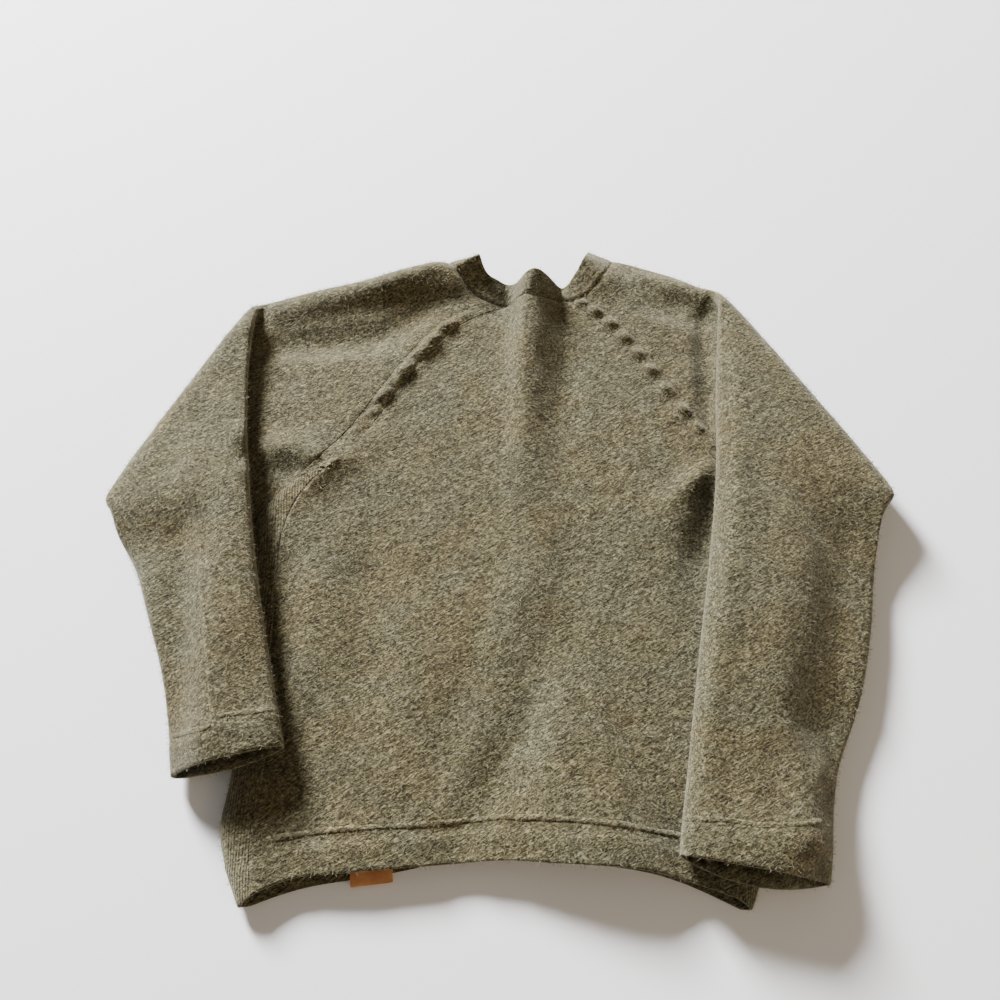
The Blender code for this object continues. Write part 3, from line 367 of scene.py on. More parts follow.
def nap_tree():
    """Geometry nodes that stand short bent hairs on the marked faces of a piece."""
    tree = bpy.data.node_groups.new("wool nap", "GeometryNodeTree")
    face = tree.interface
    face.new_socket("Geometry", in_out="INPUT", socket_type="NodeSocketGeometry")
    for label, value in (
        ("Hairs per square metre", PANEL_HAIRS),
        ("Hair length", HAIR_LENGTH),
        ("Hair width", HAIR_WIDTH),
    ):
        socket = face.new_socket(label, in_out="INPUT", socket_type="NodeSocketFloat")
        socket.default_value = value
    face.new_socket("Seed", in_out="INPUT", socket_type="NodeSocketInt")
    face.new_socket("Hair", in_out="INPUT", socket_type="NodeSocketMaterial")
    face.new_socket("Geometry", in_out="OUTPUT", socket_type="NodeSocketGeometry")
    nodes, links = tree.nodes, tree.links
    given, result = nodes.new("NodeGroupInput"), nodes.new("NodeGroupOutput")
    seed, length = given.outputs["Seed"], given.outputs["Hair length"]

    def worked_out(operation, first, second):
        node = nodes.new("ShaderNodeMath")
        node.operation = operation
        for socket, value in zip(node.inputs, (first, second)):
            if isinstance(value, float):
                socket.default_value = value
            else:
                links.new(value, socket)
        return node.outputs["Value"]

    # Roots of the hairs, on the marked faces alone
    outside = nodes.new("GeometryNodeInputNamedAttribute")
    outside.data_type = "FLOAT"
    outside.inputs["Name"].default_value = "outside"
    density = worked_out("MULTIPLY", given.outputs["Hairs per square metre"], outside.outputs["Attribute"])
    scatter = nodes.new("GeometryNodeDistributePointsOnFaces")
    scatter.distribute_method = "RANDOM"
    links.new(given.outputs["Geometry"], scatter.inputs["Mesh"])
    links.new(density, scatter.inputs["Density"])
    links.new(seed, scatter.inputs["Seed"])

    # One hair: a narrow ribbon that starts at its root and curves up towards its tip
    ribbon = nodes.new("GeometryNodeMeshGrid")
    ribbon.inputs["Vertices X"].default_value = 3
    ribbon.inputs["Vertices Y"].default_value = 2
    links.new(length, ribbon.inputs["Size X"])
    links.new(given.outputs["Hair width"], ribbon.inputs["Size Y"])
    place = nodes.new("GeometryNodeInputPosition")
    apart = nodes.new("ShaderNodeSeparateXYZ")
    links.new(place.outputs["Position"], apart.inputs["Vector"])
    from_root = worked_out("ADD", worked_out("DIVIDE", apart.outputs["X"], length), 0.5)
    bent = worked_out("MULTIPLY", worked_out("POWER", from_root, HAIR_BEND), length)
    offset = nodes.new("ShaderNodeCombineXYZ")
    links.new(worked_out("MULTIPLY", length, 0.5), offset.inputs["X"])
    links.new(worked_out("MULTIPLY", bent, HAIR_RISE), offset.inputs["Z"])
    shape = nodes.new("GeometryNodeSetPosition")
    links.new(ribbon.outputs["Mesh"], shape.inputs["Geometry"])
    links.new(offset.outputs["Vector"], shape.inputs["Offset"])

    # Each hair leans its own way and has its own length
    lean = nodes.new("FunctionNodeRandomValue")
    lean.data_type = "FLOAT_VECTOR"
    lean.inputs["Min"].default_value = LEAN_LEAST
    lean.inputs["Max"].default_value = LEAN_MOST
    links.new(seed, lean.inputs["Seed"])
    turned = nodes.new("FunctionNodeEulerToRotation")
    links.new(lean.outputs["Value"], turned.inputs["Euler"])
    rotate = nodes.new("FunctionNodeRotateRotation")
    rotate.rotation_space = "LOCAL"
    links.new(scatter.outputs["Rotation"], rotate.inputs["Rotation"])
    links.new(turned.outputs["Rotation"], rotate.inputs["Rotate By"])
    size = nodes.new("FunctionNodeRandomValue")
    size.data_type = "FLOAT"
    size.inputs[2].default_value = SHORTEST_HAIR
    size.inputs[3].default_value = LONGEST_HAIR
    links.new(seed, size.inputs["Seed"])
    hairs = nodes.new("GeometryNodeInstanceOnPoints")
    links.new(scatter.outputs["Points"], hairs.inputs["Points"])
    links.new(shape.outputs["Geometry"], hairs.inputs["Instance"])
    links.new(rotate.outputs["Rotation"], hairs.inputs["Rotation"])
    links.new(size.outputs["Value"], hairs.inputs["Scale"])
    real = nodes.new("GeometryNodeRealizeInstances")
    finish = nodes.new("GeometryNodeSetMaterial")
    links.new(hairs.outputs["Instances"], real.inputs["Geometry"])
    links.new(real.outputs["Geometry"], finish.inputs["Geometry"])
    links.new(given.outputs["Hair"], finish.inputs["Material"])
    links.new(finish.outputs["Geometry"], result.inputs["Geometry"])
    return tree


wool_nap = nap_tree()

UNDERSIDE = -0.35
NAP_FLOOR = 0.0035
OFF_THE_CLOTH, OPEN_AIR = 0.0008, 0.03


def mark_outside(piece):
    """Marks the faces that look up or outward with nothing over them, where the nap stands."""
    places, normals = points_of(piece)
    tree = faces_of(piece)
    outside = np.zeros(len(places), np.float32)
    for index, (place, normal) in enumerate(zip(places, normals)):
        out = Vector(normal)
        hit = tree.ray_cast(Vector(place) + out * OFF_THE_CLOTH, out, OPEN_AIR)
        clear = hit[0] is None and normal[2] > UNDERSIDE and place[2] > NAP_FLOOR
        outside[index] = 1.0 if clear else 0.0
    layer = piece.data.attributes.new("outside", "FLOAT", "POINT")
    layer.data.foreach_set("value", outside)


def nap_on(piece, per_metre, seed):
    """The nap of a piece, as a mesh of its own."""
    mark_outside(piece)
    nap = bpy.data.objects.new(piece.name + "_nap", piece.data.copy())
    bpy.context.scene.collection.objects.link(nap)
    grow = nap.modifiers.new("nap", "NODES")
    grow.node_group = wool_nap
    names = {
        item.name: item.identifier
        for item in wool_nap.interface.items_tree
        if item.item_type == "SOCKET" and item.in_out == "INPUT"
    }
    grow[names["Hairs per square metre"]] = per_metre
    grow[names["Hair length"]] = HAIR_LENGTH
    grow[names["Seed"]] = seed
    grow[names["Hair"]] = olive_hair
    return settled(nap)


def ready_with_nap(piece, node_name, finish, per_metre, seed):
    """Puts the piece in its place with its nap grown on it, and gives the nap."""
    nap = nap_on(piece, per_metre, seed)
    ready(piece, node_name, finish)
    return ready(nap, None, olive_hair)


WELT_STEP = 0.002
WELT_COLUMNS = 7
WELT_END = 0.04
WELT_SINK = 0.00025
WELT_SWELL, SWELL_WAVES = 0.30, 45
WELT_SWAY, SWAY_WAVES = 0.0006, 70


def smooth_line(line):
    """Points close together on a smooth curve through the given ones, which are in millimetres."""
    points = [Vector((x * MM, y * MM)) for x, y in line]
    smooth = []
    for index in range(len(points) - 1):
        before, after = points[max(index - 1, 0)], points[min(index + 2, len(points) - 1)]
        start, end = points[index], points[index + 1]
        steps = max(int((end - start).length / WELT_STEP), 1)
        for step in range(steps):
            t = step / steps
            smooth.append(
                0.5 * (2 * start + (end - before) * t + (2 * before - 5 * start + 4 * end - after) * t * t
                       + (3 * start - before - 3 * end + after) * t ** 3)
            )
    smooth.append(points[-1])
    return smooth


def welt(name, line, width, height, onto):
    """A low soft roll in the cloth along a line of points, lying on the piece beneath it."""
    tree = faces_of(onto)
    smooth = smooth_line(line)
    roll = bmesh.new()
    rows = []
    for index, point in enumerate(smooth):
        way = smooth[min(index + 1, len(smooth) - 1)] - smooth[max(index - 1, 0)]
        square = Vector((-way.y, way.x)).normalized()
        share = index / (len(smooth) - 1)
        spread = Vector((point.x * SWELL_WAVES, point.y * SWELL_WAVES, height * 900))
        swell = 1.0 + WELT_SWELL * noise.noise(spread)
        taper = min(share / WELT_END, (1 - share) / WELT_END, 1.0) ** 0.5
        shift = WELT_SWAY * noise.noise(Vector((point.x * SWAY_WAVES, point.y * SWAY_WAVES, 4.0)))
        row = []
        for column in range(WELT_COLUMNS):
            across = column / (WELT_COLUMNS // 2) - 1
            spot = point + square * (across * width / 2 * swell + shift)
            hit = tree.ray_cast(Vector((spot.x, spot.y, ABOVE_ALL)), DOWN)
            if hit[0] is None:
                row = []
                break
            rise = height * swell * taper * max(1 - across * across, 0.0) ** 0.75 - WELT_SINK
            row.append(roll.verts.new(hit[0] + hit[1] * rise))
        rows.append(row)
    for first, second in zip(rows, rows[1:]):
        if first and second:
            for column in range(WELT_COLUMNS - 1):
                roll.faces.new((first[column], first[column + 1], second[column + 1], second[column]))
    bmesh.ops.recalc_face_normals(roll, faces=roll.faces)
    if sum(face.normal.z for face in roll.faces) < 0:
        bmesh.ops.reverse_faces(roll, faces=roll.faces)
    mesh = bpy.data.meshes.new(name)
    roll.to_mesh(mesh)
    roll.free()
    mesh.shade_smooth()
    made = bpy.data.objects.new(name, mesh)
    bpy.context.scene.collection.objects.link(made)
    return ready(made, None, olive_felt)


olive_hair = nap_hair("olive nap", (0.066, 0.057, 0.031), (0.215, 0.197, 0.120))

# Raised stitches of the raglan strips, which lift the cloth beside them too
RAGLAN_TWISTS = (
    Pull(-60, 266, 2.4, 12), Pull(-84, 237, 4.2, 15), Pull(-111, 203, 3.6, 14), Pull(-136, 171, 3.0, 13),
    Pull(102, 307, 1.2, 11), Pull(117, 289, 1.7, 13), Pull(132, 270, 2.1, 13), Pull(148, 250, 1.9, 14),
    Pull(163, 228, 1.3, 12), Pull(177, 205, 2.1, 14), Pull(191, 179, 1.8, 14), Pull(208, 150, 2.3, 14),
    Pull(223, 127, 1.3, 13),
)
TWIST_HALF = (3.4, 2.8)
twist_pulls = tuple(
    (twist._replace(x=twist.x - TWIST_HALF[0], y=twist.y - TWIST_HALF[1]),
     twist._replace(x=twist.x + TWIST_HALF[0], y=twist.y + TWIST_HALF[1]))
    for twist in RAGLAN_TWISTS
)

# Under the left arm, on the body and on the sleeve that lies over it
UNDERARM_CREST = (
    Pull(-290, 108, 5, 14), Pull(-242, 100, 5, 14), Pull(-196, 88, 3.5, 13), Pull(-160, 90, 0, 12),
)
UNDERARM_HOLLOW = (
    Pull(-286, 78, -5, 14), Pull(-242, 76, -5, 13), Pull(-206, 72, -3, 11), Pull(-190, 74, 0, 8),
)

BACK_PULLS = (
    # Beside the right sleeve
    (Pull(244, 90, -2, 20), Pull(236, 40, -6, 30), Pull(226, -20, -8, 38), Pull(212, -80, -5, 34),
     Pull(200, -130, 0, 28)),
    (Pull(166, 20, 0, 12), Pull(190, 40, 3.2, 15), Pull(216, 62, 4.0, 14), Pull(244, 84, 0, 12)),
    (Pull(205, 104, 0, 12), Pull(228, 94, -2.4, 14), Pull(252, 98, 0, 12)),
    # Down the left of the body
    (Pull(-142, 60, 0, 40), Pull(-140, -50, -7, 46), Pull(-138, -170, -5, 44), Pull(-134, -250, 0, 36)),
    (Pull(-212, 20, 0, 28), Pull(-208, -60, 5, 34), Pull(-206, -160, 4, 32), Pull(-203, -230, 0, 24)),
    # The centre ridge and its right flank
    (Pull(68, 272, -2, 28), Pull(68, 210, -5.5, 36), Pull(66, 140, -5.5, 38), Pull(62, 66, -1, 32)),
    (Pull(22, 262, 0, 10), Pull(24, 200, 1.8, 16), Pull(26, 130, 1.8, 18), Pull(24, 60, 0, 16)),
    # Under the left arm
    UNDERARM_CREST,
    UNDERARM_HOLLOW,
    (Pull(-272, 26, 3, 14), Pull(-240, 56, 3.5, 14), Pull(-212, 70, 3.0, 12), Pull(-180, 76, 0, 12)),
    (Pull(-190, 120, 0, 12), Pull(-166, 96, 1.5, 15), Pull(-150, 60, 1.0, 16), Pull(-146, 20, 0, 14)),
    (Pull(-205, 60, 0, 16), Pull(-186, 34, -1.7, 18), Pull(-176, -4, 0, 18)),
    # Small creases over the chest
    (Pull(-120, 150, 0, 12), Pull(-98, 118, -1.4, 14), Pull(-84, 84, 0, 14)),
    (Pull(120, 60, 0, 16), Pull(138, 10, 1.3, 18), Pull(146, -40, 0, 18)),
    (Pull(96, 120, 0, 12), Pull(112, 88, 1.4, 14), Pull(120, 56, 0, 14)),
    # The tent of cloth that widens to the hem, with a hollow on each side
    (Pull(-20, -92, 0, 22), Pull(-34, -160, -3.5, 26), Pull(-50, -226, -4.0, 26), Pull(-66, -290, 0, 20)),
    (Pull(66, -140, 0, 20), Pull(52, -220, 3.0, 30), Pull(44, -290, 2.0, 30)),
    (Pull(104, -150, 0, 18), Pull(126, -215, -3.0, 22), Pull(140, -290, 0, 18)),
    # Small creases above the hem
    (Pull(-236, -268, 0, 8), Pull(-232, -292, 1.3, 10), Pull(-230, -316, 0.8, 8)),
    (Pull(-198, -250, 0, 9), Pull(-190, -280, 1.0, 11), Pull(-188, -308, 0, 9)),
    (Pull(-142, -262, 0, 9), Pull(-138, -286, -1.0, 10), Pull(-136, -306, 0, 8)),
    (Pull(62, -250, 0, 12), Pull(70, -282, 1.1, 14), Pull(76, -306, 0, 10)),
    (Pull(118, -258, 0, 9), Pull(126, -286, -1.1, 11), Pull(130, -310, 0, 9)),
    (Pull(-10, -262, 0, 10), Pull(-6, -284, -0.8, 12), Pull(-4, -300, 0, 10)),
    # Small creases below the neck
    (Pull(20, 250, 0, 9), Pull(34, 236, 1.1, 10), Pull(44, 214, 0, 9)),
    (Pull(-40, 236, 0, 9), Pull(-24, 222, -1.2, 10), Pull(-16, 200, 0, 9)),
)
HEM_ROLL_WIDTH, HEM_ROLL_HEIGHT = 0.0066, 0.0016
HEM_LINE = (
    (-226, -319), (-198, -314), (-169, -310), (-121, -307), (-77, -305), (-39, -301), (0, -298), (47, -300),
    (95, -304), (134, -309), (168, -314), (190, -320), (212, -328),
)

back = finer_cloth("back_panel", "back")
press(back, BACK_PULLS + twist_pulls)
back_nap = ready_with_nap(back, "back", olive_felt, PANEL_HAIRS, seed=11)
hem_roll = welt("hem_roll", HEM_LINE, HEM_ROLL_WIDTH, HEM_ROLL_HEIGHT, back)


# Side panels: a knit strip on each side from hem to underarm, less felted, so its wales show as fine ribs.
# They run round the edges of the body and are sewn to the back and the front.

SIDE_HAIRS = 110000.0
SEAM_SNAP = 0.0045
SEAM_MARK = 0.999
SEAM_STEPS = 10
WALE_LEAN = 0.8


def seam_points(*pieces):
    """Points close together along the pieces' seams, those above the cloth apart from those below it."""
    places = {1: [], -1: []}
    for piece in pieces:
        marks = piece.data.attributes["seam"].data
        points = piece.data.vertices
        for edge in piece.data.edges:
            first, second = (marks[index].value for index in edge.vertices)
            if min(abs(first), abs(second)) > SEAM_MARK and first * second > 0:
                start, end = (points[index].co for index in edge.vertices)
                between = [start.lerp(end, step / SEAM_STEPS) for step in range(SEAM_STEPS)]
                places[1 if first > 0 else -1] += between
    trees = {}
    for side, found in places.items():
        trees[side] = KDTree(len(found))
        for index, place in enumerate(found):
            trees[side].insert(place, index)
        trees[side].balance()
    return trees


def sewn_to(piece, *neighbours):
    """Lays the piece's seam edges on those of the pieces it is sewn to, so that no gap shows."""
    seams = seam_points(*neighbours)
    for vertex, mark in zip(piece.data.vertices, piece.data.attributes["seam"].data):
        if abs(mark.value) > SEAM_MARK:
            place, _, distance = seams[1 if mark.value > 0 else -1].find(vertex.co)
            if place is not None and distance < SEAM_SNAP:
                vertex.co = place
    piece.data.update()


def measured_across(piece, distances):
    """Gives the piece's ribs their distance across the cloth, which the knit's material reads."""
    across = np.zeros((len(distances), 3), np.float32)
    across[:, 0] = distances
    layer = piece.data.attributes.new("across", "FLOAT_VECTOR", "POINT")
    layer.data.foreach_set("vector", across.ravel())


side_felt = felt(
    "side knit", (0.018, 0.014, 0.007), (0.098, 0.087, 0.050), (0.245, 0.226, 0.145),
    wales=0.0034, wale_depth=0.55, sheen=0.3,
)
sides = {}
for side, inward, seed in (("left", 1, 21), ("right", -1, 22)):
    panel = finer_cloth(f"side_panel_{side}", f"side_{side}", 3)
    press(panel, ())
    sewn_to(panel, back, front)
    places, _ = points_of(panel)
    measured_across(panel, places[:, 0] + places[:, 2] * WALE_LEAN * inward)
    nap = ready_with_nap(panel, f"side_{side}", side_felt, SIDE_HAIRS, seed)
    sides[side] = panel


# Sleeves: one-piece tubes of the same boiled wool, sewn in at the raglan lines, with stitched cuffs.
# Each is folded over beyond the shoulder, so that its forearm lies over the side of the body.

SLEEVE_PULLS = {
    "left": (
        UNDERARM_CREST,
        UNDERARM_HOLLOW,
        # The shoulder: a long hollow below a ridge at its far edge
        (Pull(-262, 240, -8, 28), Pull(-215, 244, -10, 34), Pull(-144, 250, -9, 32), Pull(-96, 280, -4, 24)),
        (Pull(-268, 290, 8, 26), Pull(-215, 308, 13, 32), Pull(-140, 330, 12, 30), Pull(-82, 348, 8, 22)),
        (Pull(-214, 210, 0, 18), Pull(-252, 196, -2.4, 20), Pull(-284, 186, 0, 18)),
        # The forearm's outer edge and cuff
        (Pull(-386, 70, 4, 34), Pull(-372, -40, 9, 40), Pull(-356, -130, 9, 38), Pull(-342, -190, 7, 34)),
        (Pull(-340, -226, 3, 42), Pull(-300, -228, 3, 42), Pull(-255, -234, 3, 42)),
        # Small creases, from the fold down to the cuff
        (Pull(-270, 262, 0, 14), Pull(-300, 250, 1.4, 16), Pull(-330, 240, 0, 14)),
        (Pull(-364, 118, 0, 12), Pull(-342, 128, -1.6, 14), Pull(-318, 130, 0, 12)),
        (Pull(-392, 60, 0, 12), Pull(-368, 66, -1.3, 13), Pull(-344, 62, 0, 12)),
        (Pull(-300, 92, 0, 14), Pull(-282, 66, 1.3, 16), Pull(-270, 36, 0, 14)),
        (Pull(-372, -20, 0, 12), Pull(-352, -12, -1.2, 14), Pull(-332, -10, 0, 12)),
        (Pull(-304, -60, 0, 12), Pull(-284, -76, -1.1, 13), Pull(-262, -84, 0, 12)),
        (Pull(-330, -128, 0, 10), Pull(-318, -150, 1.2, 12), Pull(-314, -176, 0, 10)),
        (Pull(-300, -178, 0, 8), Pull(-298, -196, -1.1, 9), Pull(-298, -214, 0, 8)),
        (Pull(-258, -160, 0, 9), Pull(-252, -180, 1.0, 10), Pull(-248, -198, 0, 8)),
    ),
    "right": (
        # The shoulder: a hollow, and another along the fold
        (Pull(178, 302, -2, 16), Pull(206, 292, -6, 26), Pull(232, 282, -5, 22)),
        (Pull(248, 286, -6, 15), Pull(244, 262, -8, 18), Pull(242, 220, -7.5, 18), Pull(238, 160, -7, 18),
         Pull(234, 110, -3, 16)),
        # The cuff and the shoulder's far edge
        (Pull(176, -340, 4, 42), Pull(236, -338, 5, 42), Pull(300, -326, 4, 42)),
        (Pull(176, 340, 4, 18), Pull(210, 328, 8, 20), Pull(246, 312, 7, 16)),
        (Pull(150, 290, 0, 12), Pull(176, 274, 2.2, 15), Pull(206, 262, 0, 13)),
        (Pull(196, 236, 0, 12), Pull(214, 224, -2.0, 14), Pull(236, 220, 0, 13)),
        # Down the forearm's inner edge, and the long hollow at its outer side
        (Pull(262, 262, -3, 14), Pull(256, 180, -5, 17), Pull(240, 60, -5, 17), Pull(222, -41, -5, 17),
         Pull(201, -149, -4, 16), Pull(184, -248, -4, 15), Pull(170, -325, -2, 13)),
        (Pull(292, -120, 0, 24), Pull(306, -170, -4.0, 30), Pull(308, -216, -5.5, 32),
         Pull(312, -262, 0, 26)),
        # Small creases, from the fold down to the cuff
        (Pull(236, 214, 0, 14), Pull(262, 198, 1.6, 17), Pull(286, 172, 0, 14)),
        (Pull(262, 70, 0, 16), Pull(288, 46, -2.0, 20), Pull(306, 14, 0, 16)),
        (Pull(352, 96, 0, 12), Pull(372, 90, -1.5, 14), Pull(396, 92, 0, 12)),
        (Pull(334, -6, 0, 14), Pull(352, -36, 1.6, 17), Pull(356, -72, 0, 14)),
        (Pull(196, -190, 0, 18), Pull(216, -236, -3.6, 24), Pull(224, -268, -3.0, 24),
         Pull(226, -300, 0, 18)),
        (Pull(214, -112, 0, 14), Pull(238, -132, -2.4, 18), Pull(266, -140, 0, 14)),
        (Pull(258, -190, 0, 12), Pull(280, -200, -1.7, 15), Pull(304, -204, 0, 12)),
        (Pull(196, -212, 0, 10), Pull(210, -236, 1.3, 12), Pull(216, -262, 0, 10)),
        (Pull(300, -140, 0, 12), Pull(322, -156, 1.3, 14), Pull(332, -184, 0, 12)),
        (Pull(236, -262, 0, 9), Pull(240, -284, -1.1, 10), Pull(242, -304, 0, 8)),
        (Pull(284, -262, 0, 9), Pull(288, -284, 1.0, 10), Pull(290, -304, 0, 8)),
    ),
}

# Stitched lines, each with its width and its height: both cuffs' hems, and the long seam down the left sleeve
CUFF_ROLL, LONG_SEAM_ROLL = (0.0062, 0.0014), (0.0072, 0.0011)
SLEEVE_ROLLS = {
    "left": {
        "cuff_roll": (
            ((-326, -222), (-306, -221), (-284, -219), (-278, -209), (-252, -204), (-223, -199)), *CUFF_ROLL,
        ),
        "seam_roll": (
            ((-359, 168), (-344, 101), (-332, 39), (-315, -42), (-303, -96), (-291, -148), (-280, -203),
             (-270, -243)), *LONG_SEAM_ROLL,
        ),
    },
    "right": {
        "cuff_roll": (
            ((174, -301), (192, -303), (220, -304), (240, -308), (267, -308), (288, -306), (306, -304)),
            *CUFF_ROLL,
        ),
    },
}
UNDERARM, UNDERARM_REACH = Vector((-0.284, 0.062, 0.008)), 0.062
UNDERARM_SHIFT = Vector((0.004, -0.072, -0.002))
UNDERARM_TOP, ON_THE_TABLE = 0.026, 0.0004


def tucked_under_the_arm(piece):
    """Draws the lower wall of the left sleeve in under the arm, where it lies slack on the table."""
    for vertex in piece.data.vertices:
        off = (vertex.co - UNDERARM).length / UNDERARM_REACH
        if off < 1 and vertex.co.z < UNDERARM_TOP:
            vertex.co += UNDERARM_SHIFT * (1 - off * off) ** 2
            vertex.co.z = max(vertex.co.z, ON_THE_TABLE)
    piece.data.update()


sleeves = {}
for side, seed in (("left", 31), ("right", 32)):
    sleeve = finer_cloth(f"sleeve_cloth_{side}", f"sleeve_{side}")
    if side == "left":
        tucked_under_the_arm(sleeve)
    press(sleeve, SLEEVE_PULLS[side] + twist_pulls)
    sewn_to(sleeve, back, front, sides[side])
    nap = ready_with_nap(sleeve, f"sleeve_{side}", olive_felt, PANEL_HAIRS, seed)
    rolls = [
        welt(f"{name}_{side}", line, width, height, sleeve)
        for name, (line, width, height) in SLEEVE_ROLLS[side].items()
    ]
    sleeves[side] = sleeve


# Raglan strips: a knitted strip along each back raglan line, with a row of raised twisted stitches.
# They are sewn between the back and the sleeves, and felting has softened their stitches.

STRIP_EASE = 0.0055
SAME_WALL = 0.009


def softened(piece, rounds):
    """The piece's cloth felted smoother, its seams kept."""
    shape = bmesh.new()
    shape.from_mesh(piece.data)
    seam = shape.verts.layers.float["seam"]
    inner = [vertex for vertex in shape.verts if abs(vertex[seam]) < 0.5]
    for _ in range(rounds):
        bmesh.ops.smooth_vert(
            shape, verts=inner, factor=0.5, use_axis_x=True, use_axis_y=True, use_axis_z=True
        )
    shape.to_mesh(piece.data)
    shape.free()


def eased_to_seams(piece):
    """Lets the piece's upper wall rise gently from its seams, as felted stitches do, with no step."""
    marks = [entry.value for entry in piece.data.attributes["seam"].data]
    rim = [vertex.co.copy() for vertex, mark in zip(piece.data.vertices, marks) if mark > SEAM_MARK]
    tree = KDTree(len(rim))
    for index, place in enumerate(rim):
        tree.insert((place.x, place.y, 0.0), index)
    tree.balance()
    for vertex, mark in zip(piece.data.vertices, marks):
        _, nearest, off = tree.find((vertex.co.x, vertex.co.y, 0.0))
        above_seam = vertex.co.z - rim[nearest].z
        if off < STRIP_EASE and abs(above_seam) < SAME_WALL and mark > -0.5 and vertex.normal.z > 0:
            share = off / STRIP_EASE
            vertex.co.z = rim[nearest].z + above_seam * (share * share * (3 - 2 * share))
    piece.data.update()


strips = {}
for side, seed, softening in (("left", 41, 26), ("right", 42, 34)):
    strip = finer_cloth(f"raglan_strip_{side}", f"raglan_{side}")
    softened(strip, softening)
    eased_to_seams(strip)
    press(strip, twist_pulls)
    sewn_to(strip, back, sleeves[side])
    nap = ready_with_nap(strip, f"raglan_{side}", olive_felt, PANEL_HAIRS, seed)
    strips[side] = strip


# Neckband: a felted rib band, about 36 mm deep, sewn round the whole neck and standing up over the back.
# Its ribs run along it, and its seam draws the cloth on both sides down into a shallow groove.

SEAM_SINK, SEAM_SINK_REACH = 0.0019, 0.0048

band_felt = felt(
    "band felt", (0.014, 0.011, 0.005), (0.071, 0.062, 0.035), (0.215, 0.198, 0.124),
    wales=0.0085, wale_depth=0.30,
)
band = finer_cloth("neck_rib", "neckband", 3)
press(band, ())
sewn_to(band, back, front, *sleeves.values(), *strips.values())
neck_seam = seam_points(band)[1]
places, _ = points_of(band)
measured_across(band, [neck_seam.find(Vector(place))[2] for place in places])
for piece in (back, band, *sleeves.values(), *strips.values()):
    for vertex in piece.data.vertices:
        off = neck_seam.find(vertex.co)[2] / SEAM_SINK_REACH
        if off < 1:
            vertex.co.z -= SEAM_SINK * (1 - off) ** 1.5
    piece.data.update()
band_nap = ready_with_nap(band, "neckband", band_felt, PANEL_HAIRS, seed=51)


# Hem tab: a bare tag of smooth tan leather, sewn to the inside of the front hem at the left.
# Its cut edges are soft, and the leather is finely pored, with a low satin gloss.

def tan_leather(name):
    """Smooth vegetable leather: fine pores, a faint cloudy tone and a low satin gloss."""
    made = bpy.data.materials.new(name)
    made.use_nodes = True
    nodes, links = made.node_tree.nodes, made.node_tree.links
    shader = nodes["Principled BSDF"]
    place = nodes.new("ShaderNodeTexCoord")
    cloud = nodes.new("ShaderNodeTexNoise")
    cloud.inputs["Scale"].default_value = 90.0
    cloud.inputs["Detail"].default_value = 4.0
    pores = nodes.new("ShaderNodeTexVoronoi")
    pores.inputs["Scale"].default_value = 1800.0
    colours = nodes.new("ShaderNodeValToRGB")
    colours.color_ramp.elements[0].position = 0.3
    colours.color_ramp.elements[0].color = (0.440, 0.170, 0.058, 1.0)
    colours.color_ramp.elements[1].position = 0.7
    colours.color_ramp.elements[1].color = (0.620, 0.280, 0.110, 1.0)
    bump = nodes.new("ShaderNodeBump")
    bump.inputs["Strength"].default_value = 0.35
    bump.inputs["Distance"].default_value = 0.0002
    links.new(place.outputs["Object"], cloud.inputs["Vector"])
    links.new(place.outputs["Object"], pores.inputs["Vector"])
    links.new(cloud.outputs["Fac"], colours.inputs["Fac"])
    links.new(colours.outputs["Color"], shader.inputs["Base Color"])
    links.new(pores.outputs["Distance"], bump.inputs["Height"])
    links.new(bump.outputs["Normal"], shader.inputs["Normal"])
    shader.inputs["Roughness"].default_value = 0.48
    return made


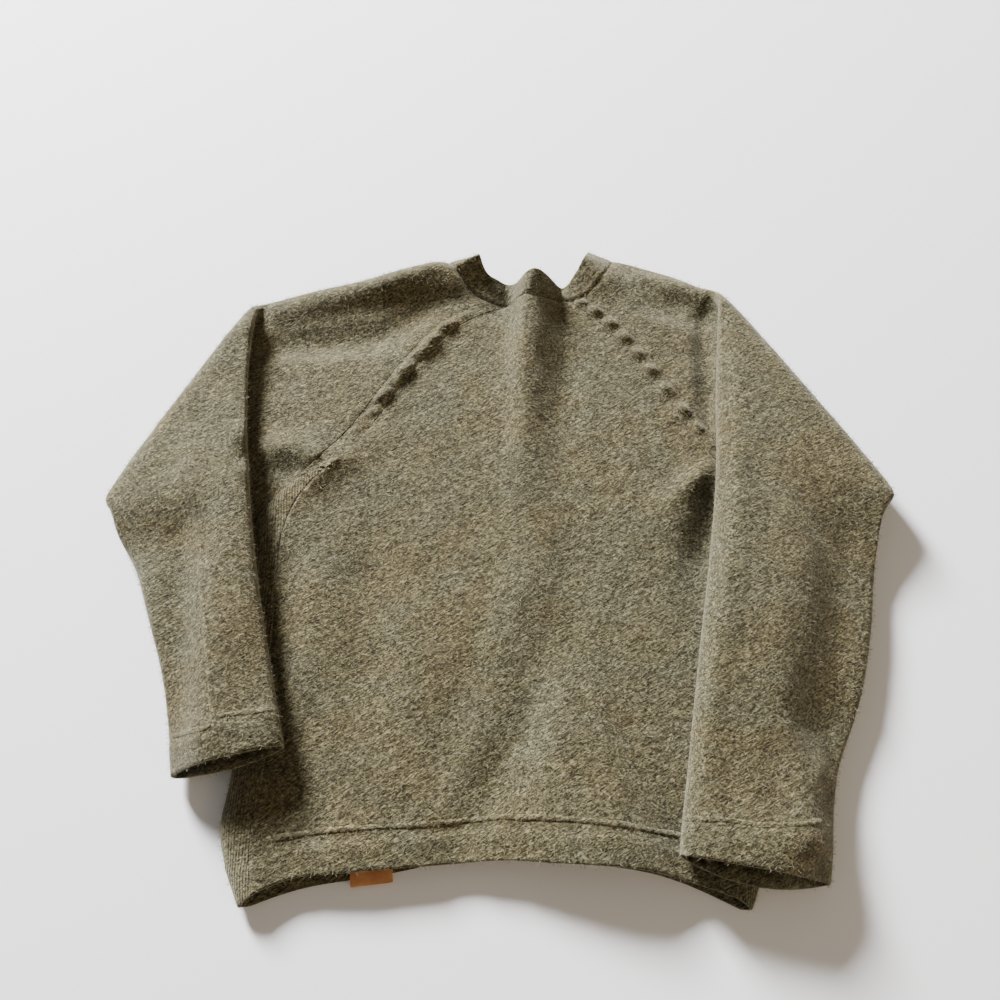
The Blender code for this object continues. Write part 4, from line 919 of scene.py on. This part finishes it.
tab = finer_cloth("hem_tag", "hem_tab")
ready(tab, "hem_tab", tan_leather("tan leather"))


# Table, light and camera: the pale table that the sweater lies on, a soft window light from the far left and
# a faint warm lamp in the room. The camera stands over the near edge and looks down at 66 degrees.

TABLE_HALF, TABLE_TOP = 6.0, -0.0004
CORNER_SIGNS = ((-1, -1), (1, -1), (1, 1), (-1, 1))

floor_mesh = bpy.data.meshes.new("table")
corners = [(x * TABLE_HALF, y * TABLE_HALF, TABLE_TOP) for x, y in CORNER_SIGNS]
floor_mesh.from_pydata(corners, [], [(0, 1, 2, 3)])
floor = bpy.data.objects.new("table", floor_mesh)
bpy.context.scene.collection.objects.link(floor)
pale = bpy.data.materials.new("pale table")
pale.use_nodes = True
pale.node_tree.nodes["Principled BSDF"].inputs["Base Color"].default_value = (0.90, 0.90, 0.92, 1.0)
pale.node_tree.nodes["Principled BSDF"].inputs["Roughness"].default_value = 0.9
floor_mesh.materials.append(pale)


def lamp(name, place, energy, size, colour):
    """A square soft light that shines at the middle of the table."""
    light = bpy.data.lights.new(name, "AREA")
    light.energy = energy
    light.size = size
    light.color = colour
    made = bpy.data.objects.new(name, light)
    made.location = place
    made.rotation_euler = (-Vector(place)).to_track_quat("-Z", "Y").to_euler()
    bpy.context.scene.collection.objects.link(made)


lamp("window", (-2.75, 4.2, 2.2), 1850.0, 1.3, (0.99, 0.995, 1.0))
lamp("room", (3.4, -2.2, 1.6), 60.0, 2.0, (1.0, 0.76, 0.46))
world = bpy.data.worlds.new("room light")
world.use_nodes = True
world.node_tree.nodes["Background"].inputs["Color"].default_value = (1.0, 0.92, 0.80, 1.0)
world.node_tree.nodes["Background"].inputs["Strength"].default_value = 0.26
bpy.context.scene.world = world

camera_data = bpy.data.cameras.new("camera")
camera_data.lens = 36.0
camera_data.sensor_width = 36.0
camera = bpy.data.objects.new("camera", camera_data)
camera.location = (-0.0004, -0.411, 1.03)
camera.rotation_euler = (math.radians(24.0), 0.0, 0.0)
bpy.context.scene.collection.objects.link(camera)
bpy.context.scene.camera = camera
